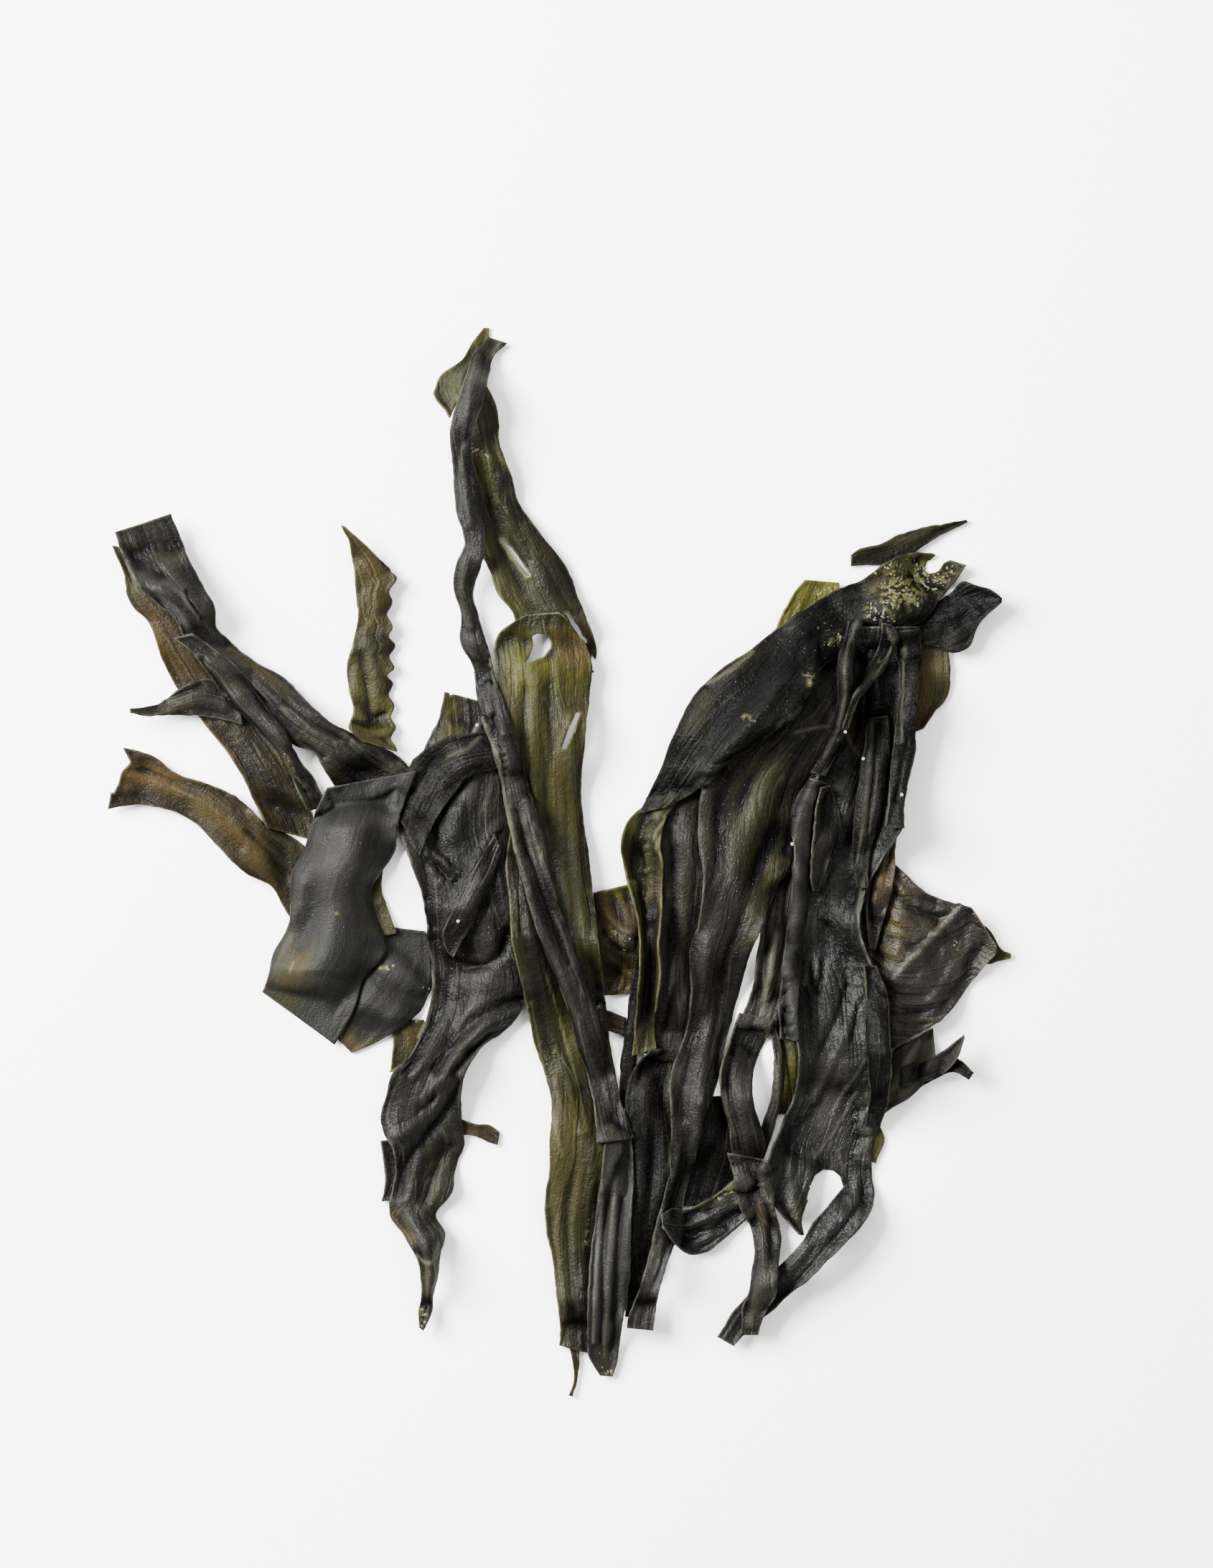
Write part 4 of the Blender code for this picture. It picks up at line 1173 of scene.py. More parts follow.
LEFT_FRONDS = (
    Frond("left_brown_strap", Look.BROWN, STRAP, (
        -184, 48, -188.5, 22,  -172, 45, -175, 23.5,  -160, 37, -160, 20.5,  -149, 33.5, -150, 15,
        -140, 30, -143, 7,  -130, 23, -132, -4,  -122, 15, -121, -10,  -110, 9, -115, -20,
        -104, 4, -112, -24,
    ), strokes=(
        warm(9, 0.7, -180, 38, -170, 37, -160, 33), warm(7, 0.35, -150, 24, -136, 14, -126, 2),
        olive(10, 0.6, -150, 24, -120, 0), dark(6, 0.6, -188, 25, -172, 26, -158, 22),
        dark(8, 0.6, -116, 4, -112, -14), fold(5, -1.2, -174, 39, -163, 33, -152, 31, -140, 28),
        fold(5, 1.2, -174, 45, -162, 39, -150, 35, -138, 29),
        fold(5, -1.0, -176, 29, -160, 26, -146, 18, -134, 6), fold(3, 1.2, -128, 20, -120, 12, -112, 6),
        fold(3, -1.2, -130, 12, -122, 4, -114, -6),
    ), cuts=(
        ((-192, 52), (-183.2, 49.4), (-179.2, 41.4), (-182.8, 37.6), (-184, 33), (-186, 28.8),
            (-188.6, 28.9), (-194, 29)),
    )),
    Frond("left_side_spur", Look.BROWN, FLAT, (
        -52, -107, -52, -114,  -43, -107, -43, -114,  -35, -109.5, -36, -114.5,  -29, -110, -30, -117,
        -25, -113, -26, -118.5,
    )),
    Frond("left_edge_sliver", Look.CHARCOAL, FLAT, (
        -75, -116.5, -62, -115,  -74, -125, -60, -123,  -73, -134, -60, -133,  -74.5, -142, -66, -141,
    )),
    Frond("left_olive_underpiece", Look.OLIVE, FLAT, (
        -70, -66, -57, -66,  -69.5, -75, -54, -74,  -70, -82, -55, -80,  -71, -88, -60, -87,
    ), strokes=(
        warm(5, 0.6, -62, -72, -60, -80), painted_highlight(1.3, 1.0, -56, -67, -58.5, -73, -58, -79, -64, -84, -70, -88),
        crust(3, 0.6, -70, -67, -62, -66),
    )),
    Frond("left_under_strap", Look.BROWN, STRAP, (
        -187, 132, -176, 130,  -182, 120, -168, 118,  -179, 108, -160, 110,  -171.5, 100, -150, 100,
        -167, 88, -145, 88,  -163, 78, -138, 76,  -155, 66, -130, 62,  -148, 57, -122, 52,
        -140, 47, -115, 42,  -132, 35, -110, 30,  -126, 22, -104, 20,  -122, 14, -100, 8,
    ), strokes=(
        speck(5, 1.0, -126, 38, -122, 40), warm(7, 0.45, -170, 100, -164, 86, -158, 78),
        olive(7, 0.6, -182, 124, -176, 110), warm(6, 0.6, -152, 58, -144, 46),
        dark(8, 0.45, -134, 56, -120, 30, -112, 12), dark(8, 0.5, -120, 34, -112, 20),
        fold(4, 1.0, -146, 56, -136, 40, -128, 24), fold(4, -0.9, -138, 54, -128, 40, -120, 24),
    )),
    Frond("left_side_tongue", Look.CHARCOAL, TONGUE, (
        -179, 63.6, -178.8, 62,  -172, 64.5, -171, 60.5,  -166, 66.5, -164, 61.5,  -159, 72, -156, 61,
        -150, 76, -151, 61,  -142, 75, -140, 59,  -134, 68, -132, 57,
    ), strokes=(
        fold(3, -1.4, -168, 66, -158, 70, -150, 73), fold(4, 1.2, -160, 66, -150, 68, -140, 66),
        olive(5, 0.5, -166, 64, -154, 64),
    )),
    Frond("left_upper_strap", Look.CHARCOAL, UPPER_STRAP, (
        -185, 137, -162, 145,  -183, 131, -157.5, 134,  -178, 120, -155, 127,  -170, 110, -148, 114,
        -160, 102, -143, 104,  -157, 96, -143, 98,  -150, 88, -137, 91,  -141, 80, -128, 83.5,
        -132, 68, -116, 77,  -122, 58, -107, 68,  -112, 50, -98, 60,  -102, 45, -88, 54,  -97, 37, -78, 49,
        -92, 30, -69, 45,  -80, 28, -60, 36,
    ), strokes=(
        ledge(5, 2.0, -158, 98, -163, 104, -169, 110, -175, 117, -178, 124, -182, 131, -184, 138),
        fold(6, -2.0, -175, 128, -171, 121, -166, 118),
        fold(5, 1.3, -173, 117, -164, 113, -158, 109, -152, 101),
        fold(4, 1.0, -156, 128, -152, 119, -147, 111, -146, 104),
        fold(1.8, -2.4, -155.5, 111.5, -153, 107, -149, 101),
        painted_highlight(1.2, 1.0, -157, 112, -154.5, 107, -150, 101.5), fold(4, -1.3, -154, 96, -147, 92, -140, 90),
        fold(4, 1.3, -156, 91, -148, 87, -140, 84, -132, 80), fold(2.4, -2.6, -139, 79, -134, 77, -130, 73),
        painted_highlight(1.2, 0.9, -139, 80.5, -132, 79, -127, 72), fold(2.6, -1.2, -130, 73, -118, 63, -106, 50, -98, 44),
        fold(3.0, 1.1, -126, 74, -112, 62, -98, 52, -84, 44), fold(2.6, -1.0, -114, 66, -100, 56, -88, 50),
        fold(5, 1.3, -88, 52, -78, 46, -68, 38), fold(4, -1.2, -92, 42, -84, 38, -76, 36),
        olive(6, 0.9, -138, 90, -125, 82, -112, 72), olive(5, 0.7, -96, 38, -90, 33),
        dark(6, 0.8, -173, 124, -167, 119), dark(4, 0.7, -150, 97, -146, 96),
    )),
    Frond("scalloped_strap", Look.OLIVE, SCALLOPED, (
        -90.8, 140, -89, 139.5,  -87.5, 132, -82, 133,  -86, 123, -73.5, 124.5,  -85, 115, -69, 119,
        -84.5, 107, -71, 109.5,  -84.5, 99, -70.5, 97.5,  -86.5, 90, -70, 90,  -88.5, 83, -70, 81,
        -88, 73, -71, 75,  -86.5, 62, -69.5, 61.5,  -88, 56, -69.3, 55,  -82, 50, -69, 46,
    ), scallop_from=22.0, scallop=1.1, strokes=(
        fold(4, 1.0, -79, 90, -77, 76, -76, 64), fold(4, -1.2, -83, 86, -81, 74, -80, 62),
        fold(3, -1.5, -86, 58, -80, 57, -74, 62), fold(2.4, 1.5, -86, 54, -80, 52, -72, 54),
        warm(9, 0.45, -80, 124, -79, 100), dark(6, 0.5, -84, 66, -76, 58),
    )),
    Frond("left_folded_ribbon", Look.CHARCOAL, FOLDED, (
        -160, 93, -152, 95,  -151, 85, -140, 86,  -146, 79, -131, 77,  -142, 72, -126, 70,
        -136, 65, -120, 62,  -130, 60, -114, 54,  -124, 53, -111, 48,  -117, 46, -108, 41,
        -113, 38, -103, 35,  -109, 29, -99, 28,  -105, 21, -97, 23,
    ), strokes=(
        fold(2.2, -1.6, -148, 84, -140, 72, -128, 58, -116, 44, -106, 28),
        crust(2.5, 0.35, -114, 44, -107, 32),
    )),
    Frond("left_curled_fold", Look.SATIN, FOLDED, (
        -93, -74, -87, -80,  -92, -66, -78, -76,  -88, -58, -68, -70,  -84, -48, -58, -62,
        -80, -40, -54, -52,  -76, -33, -54, -40,  -73, -27, -56, -29,
    ), strokes=(
        olive(6, 1.0, -91, -70, -86, -78, -78, -77), warm(4, 0.5, -90, -74, -84, -78),
        dark(6, 0.7, -84, -62, -74, -66), fold(5, -1.3, -80, -44, -72, -52, -62, -58),
        fold(5, 1.3, -74, -36, -66, -44, -58, -52), crust(2.4, 0.7, -76, -43, -71, -44),
        crust(2.4, 0.5, -56, -52, -54, -58), painted_highlight(1.2, 0.8, -52, -40, -51, -50, -54, -60),
    )),
    Frond("lower_left_frond", Look.CHARCOAL, FROND, (
        -48, 71, -33, 67,  -51, 58, -28, 58,  -57, 46, -24, 46,  -63, 30, -20, 34,  -67, 15, -18, 20,
        -63, 2, -17, 5,  -58, -12, -15, -10,  -56, -22, -14, -25,  -55, -35, -13, -40,  -53, -50, -13, -52,
        -56, -66, -16, -62,  -62, -80, -24, -71,  -70, -89, -33, -78,  -72, -97, -39, -88,
        -74, -105, -41, -98,  -73, -112, -41, -108,  -69, -120, -40, -117,  -69, -130, -44, -129,
        -71, -141, -45, -138,  -70, -149, -52, -147,  -65, -156, -48, -155,  -60, -164, -50, -163,
        -57.5, -173, -51, -172,  -57, -181, -53, -181,  -59, -187, -53, -187.5,  -58.5, -194, -56.8, -195.5,
    ), strokes=(
        dark(16, 0.6, -50, 30, -44, -4), dark(13, 0.55, -37, 18, -33, -10), dark(8, 0.6, -40, -10, -44, -36),
        speck(10, 1.0, -33, -24, -29, -32), speck(14, 0.35, -52, 40, -40, -50),
        olive(8, 1.0, -46, 68, -45, 52), green(5, 0.4, -44, 62, -44, 52),
        painted_highlight(1.3, 1.0, -34, 57, -38, 51, -43, 47, -47, 43), fold(3, -1.7, -36, 52, -42, 46, -50, 42),
        fold(1.8, 1.5, -56, 13, -54, 6, -51, 1), fold(1.6, 1.4, -52, 4, -47, -1, -44, -7),
        fold(1.5, 1.2, -49, 1, -45, -3, -41, -5), fold(1.6, -1.6, -54, 1, -50, -4, -47, -7),
        fold(1.5, -1.4, -51, -1, -46, -6, -44, -9), fold(7, 1.6, -44, 22, -44, 12),
        fold(4, -1.4, -57, 4, -55, -10, -53, -26), fold(9, 2.2, -31, -24, -30, -31),
        fold(4, -2.0, -46, -41, -38, -44, -30, -43, -24, -38, -21, -28),
        ledge(5, 2.0, -46, -40, -47, -28, -40, -14, -33, 0, -26, 13), dark(5, 0.9, -27, 0, -22, -14),
        dark(5, 0.9, -54, -30, -50, -38), fold(7, 1.6, -44, -52, -30, -49, -19, -52),
        fold(4.5, -2.0, -16, -57, -27, -61, -36, -67, -44, -75, -51, -86),
        fold(4, 1.6, -17, -63, -30, -68, -40, -77, -48, -89, -56, -99),
        fold(3, -1.7, -30, -72, -40, -82, -47, -92, -53, -99),
        fold(4, -1.6, -48, -56, -52, -68, -58, -79, -63, -87),
        fold(4, 1.3, -44, -56, -48, -66, -54, -77, -60, -88),
        fold(4.5, -2.1, -42, -92, -47, -102, -53, -112, -60, -120, -65, -128, -67, -138),
        fold(4, 1.6, -46, -90, -52, -102, -60, -110, -68, -114),
        fold(5, 1.6, -52, -114, -59, -124, -62, -136, -64, -146, -58, -158),
        fold(4, -1.3, -46, -118, -52, -130, -56, -142), fold(6, 1.6, -50, -152, -53, -160),
        olive(8, 0.7, -52, -124, -54, -142), olive(4, 0.8, -75, -104, -73, -110),
        warm(4.5, 0.9, -69, -147, -62, -157), olive(6, 0.9, -53, -167, -55, -178),
        crust(3.5, 0.6, -58, -188, -58, -192), painted_highlight(1.2, 0.8, -61, -163, -57, -165.5, -54, -166.5, -52, -164),
    ), cuts=(
        ((-50, 74), (-46.5, 73), (-46, 69.6), (-44.5, 69.8), (-44.2, 74)),
    )),
    Frond("saddle_band", Look.BLACK, STRAP, (
        -69, 22, -58, 2,  -66, 32, -50, 20,  -60, 44, -44, 28,  -46, 52, -38, 35,  -34, 54, -30, 38,
        -24, 54, -22, 40,
    ), strokes=(
        fold(6, 1.3, -62, 22, -50, 35, -36, 42, -25, 44), painted_highlight(1.2, 0.7, -46, 44, -38, 47, -33, 52),
        dark(6, 0.6, -50, 26, -36, 33),
    )),
    Frond("left_leaf_lip", Look.CHARCOAL, THIN_FOLD, (
        -27, 12, -24, 5,  -33, 1, -27, -4,  -40, -12, -32, -17,  -46, -23, -37, -27,  -49, -31, -41, -34,
        -46.5, -38, -44, -40,
    )),
    Frond("thin_olive_strip", Look.OLIVE, THIN_FOLD, (
        -81, -4, -74, -3,  -80.5, -15, -74, -13,  -78, -22, -71.5, -20,  -74, -31, -68, -30,
    ), strokes=(
        olive(6, 0.6, -78, -8, -74, -26),
    )),
    Frond("smooth_dark_fold", Look.SATIN, SMOOTH_FOLD, (
        -97, 31, -59.5, 38,  -101, 23, -64, 27,  -104, 15, -67, 17,  -106, 6, -69, 5,  -112, -7, -76, -6,
        -112, -18, -80, -14,  -113.5, -28, -76, -26,  -119, -37, -72.5, -37,  -121, -46, -82, -49,
        -123.5, -52, -85, -60,  -124.5, -54.5, -94, -76.5,
    ), strokes=(
        speck(20, 0.12, -88, 10, -100, -30), fold(14, 2.0, -86, 24, -84, 4, -88, -18, -98, -40),
        fold(9, -1.7, -103, 16, -105, -4, -101, -18, -106, -34), fold(8, -1.4, -72, 22, -76, 6, -80, -10),
        fold(7, 1.3, -108, -10, -112, -26, -116, -42), fold(7, -1.3, -78, -36, -84, -50, -92, -62),
        olive(13, 1.0, -119, -42, -113, -54, -108, -38), warm(5, 0.25, -112, -50, -107, -38),
        painted_highlight(0.8, 0.8, -112, -46, -110.5, -42), crust(1.3, 1.0, -92.5, -21.5, -92.4, -21.4),
    )),
)


@dataclass
class LeftFronds(FrondGroup):
    """Straps that fan out to the left, and the frond at the lower left."""

    fronds: tuple[Frond, ...] = LEFT_FRONDS


RIGHT_FRONDS = (
    Frond("yellow_green_corner", Look.YELLOW_GREEN, FLAT, (
        90, 97, 112, 100,  94, 106, 116, 108,  98, 112.5, 116.8, 114,  102.5, 117.8, 116.5, 116.5,
    ), strokes=(
        olive(6, 0.6, 92, 99, 100, 106, 108, 110), crust(4, 0.4, 106, 112, 112, 113),
    )),
    Frond("small_chip", Look.SALTED, FLAT, (
        121.5, 128, 121.5, 123,  125, 130.5, 125.5, 123.5,  133, 132.5, 133, 123.8,  142, 136.5, 142, 125,
        152, 139.5, 152, 132,  162, 141.5, 162, 137.5,  170, 143, 170.5, 141.4,
    ), strokes=(
        olive(9, 0.4, 126, 130, 166, 144), fold(3, 1.0, 126, 131, 146, 134, 166, 144),
    )),
    Frond("flap_olive_tip", Look.OLIVE, FLAT, (
        166, -22, 166, -42,  173, -25, 173, -42,  180, -29, 180, -43,  184, -36, 183, -41.8,
        188.5, -38.6, 188.4, -40.6,
    )),
    Frond("small_olive_scrap", Look.OLIVE, FLAT, (
        128, -108, 133.5, -110,  128, -117, 135.5, -117,  126, -124, 132, -126,
    )),
    Frond("curled_black_tip", Look.BLACK, TONGUE, (
        172.5, -87.5, 170.5, -90.5,  165, -82, 164, -87.5,  158, -84, 157, -90.5,  150, -87, 148, -96,
        143, -88, 141, -100,
    )),
    Frond("side_frond", Look.SATIN, LEAF, (
        128, -88, 127, -112,  143, -77, 140, -102,  150, -73, 150, -95,  156, -69.5, 156.8, -82,
    ), strokes=(
        fold(3, 1.4, 150, -76, 142, -88, 134, -100), fold(3, -0.7, 154, -78, 146, -90, 138, -102),
        # The wide highlight stroke and the olive stroke below lift this frond where the palm shades it:
        # painted light.
        painted_highlight(14, 0.55, 152, -80, 138, -98), painted_highlight(1.2, 0.9, 150, -75, 144, -84, 139, -94),
        olive(12, 0.7, 152, -84, 134, -102), speck(12, 0.6, 152, -80, 134, -100),
    )),
    Frond("side_spike", Look.CHARCOAL, TONGUE, (
        168, -71.5, 168.5, -73.2,  163, -75.5, 165, -82,  158, -79.5, 160, -88,  150, -84, 150, -92,
        142, -85, 142, -94,
    )),
    Frond("right_flap", Look.RED_BROWN, FLAP, (
        126, 4, 122, -60,  141, -2, 138, -78,  150, -11, 150, -71,  157, -15, 160, -65,  164, -17.5, 166, -58,
        172, -19.5, 174, -48,  178, -29, 178, -42.5,  182, -35, 182, -38.5,
    ), strokes=(
        painted_highlight(1.1, 0.7, 166, -19.5, 158, -28, 150, -37, 141, -45),
        ledge(7, 2.2, 166, -19, 158, -27, 148, -37, 140, -46, 132, -51),
        fold(3.5, -1.4, 140, -12, 148, -20, 158, -24), fold(3.0, 1.5, 138, -8, 146, -16, 156, -20, 164, -19),
        fold(3.0, 1.2, 140, -24, 150, -28, 158, -30), fold(3.0, -1.2, 138, -32, 148, -35, 154, -34),
        fold(3.0, 1.3, 136, -37, 142, -40, 150, -38), fold(5, -1.4, 176, -36, 168, -46, 160, -58),
        fold(5, 1.3, 172, -30, 170, -40, 162, -50, 154, -62), fold(3, 1.0, 140, -58, 150, -58, 160, -56),
        fold(3, -1.0, 138, -64, 146, -64, 154, -62), olive(8, 0.7, 142, -16, 136, -40),
        warm(12, 0.3, 136, -12, 138, -36), olive(5, 0.7, 158, -66, 150, -70),
        crust(2.5, 0.6, 165, -34, 166, -36), dark(6, 0.6, 164, -50, 156, -62),
    ), cuts=(
        ((166, -14), (167.5, -18), (172, -19), (173, -14)),
    )),
    Frond("brown_wedge", Look.RED_BROWN, THIN_FOLD, (
        131, 6, 140.5, 11,  127.5, -2, 140, 1,  127, -14, 138.5, -11,  127.5, -26, 135, -24,
        129, -36, 131.5, -37,
    ), strokes=(
        fold(2.6, 1.2, 136, 6, 133, -6, 130, -22), fold(2.2, -1.4, 133, 4, 130, -8, 129, -24),
        warm(8, 1.0, 138, 4, 133, -12),
    )),
    Frond("brown_flap", Look.BROWN, FLAT, (
        149, 94, 163, 98,  148.5, 84, 162.5, 88,  147, 75, 163, 78,  146, 66, 162, 69,  145.5, 60, 157, 63,
        146, 53, 152, 55.5,
    ), strokes=(
        olive(12, 1.0, 156, 84, 154, 66), warm(8, 0.5, 152, 80, 150, 64), painted_highlight(10, 0.2, 157, 84, 155, 68),
        dark(6, 0.5, 160, 94, 156, 92),
    )),
    Frond("dark_curled_end", Look.BLACK, TONGUE, (
        184.2, 110, 184, 107.8,  180, 113, 178, 102.5,  174, 115, 174, 97.5,  168, 117, 171, 90,
        163, 112, 164, 87,  156, 107, 158, 89,  150, 103, 152, 90,  145, 99.5, 146, 88,
    ), strokes=(
        fold(6, -1.6, 152, 98, 160, 96, 170, 100), fold(6, -1.2, 158, 109, 170, 110, 178, 109),
        dark(22, 1.0, 154, 106, 184, 104), fold(4, 1.2, 166, 94, 171, 98, 174, 103),
    )),
)


@dataclass
class RightFlaps(FrondGroup):
    """Flaps and spikes that stick out on the right."""

    fronds: tuple[Frond, ...] = RIGHT_FRONDS


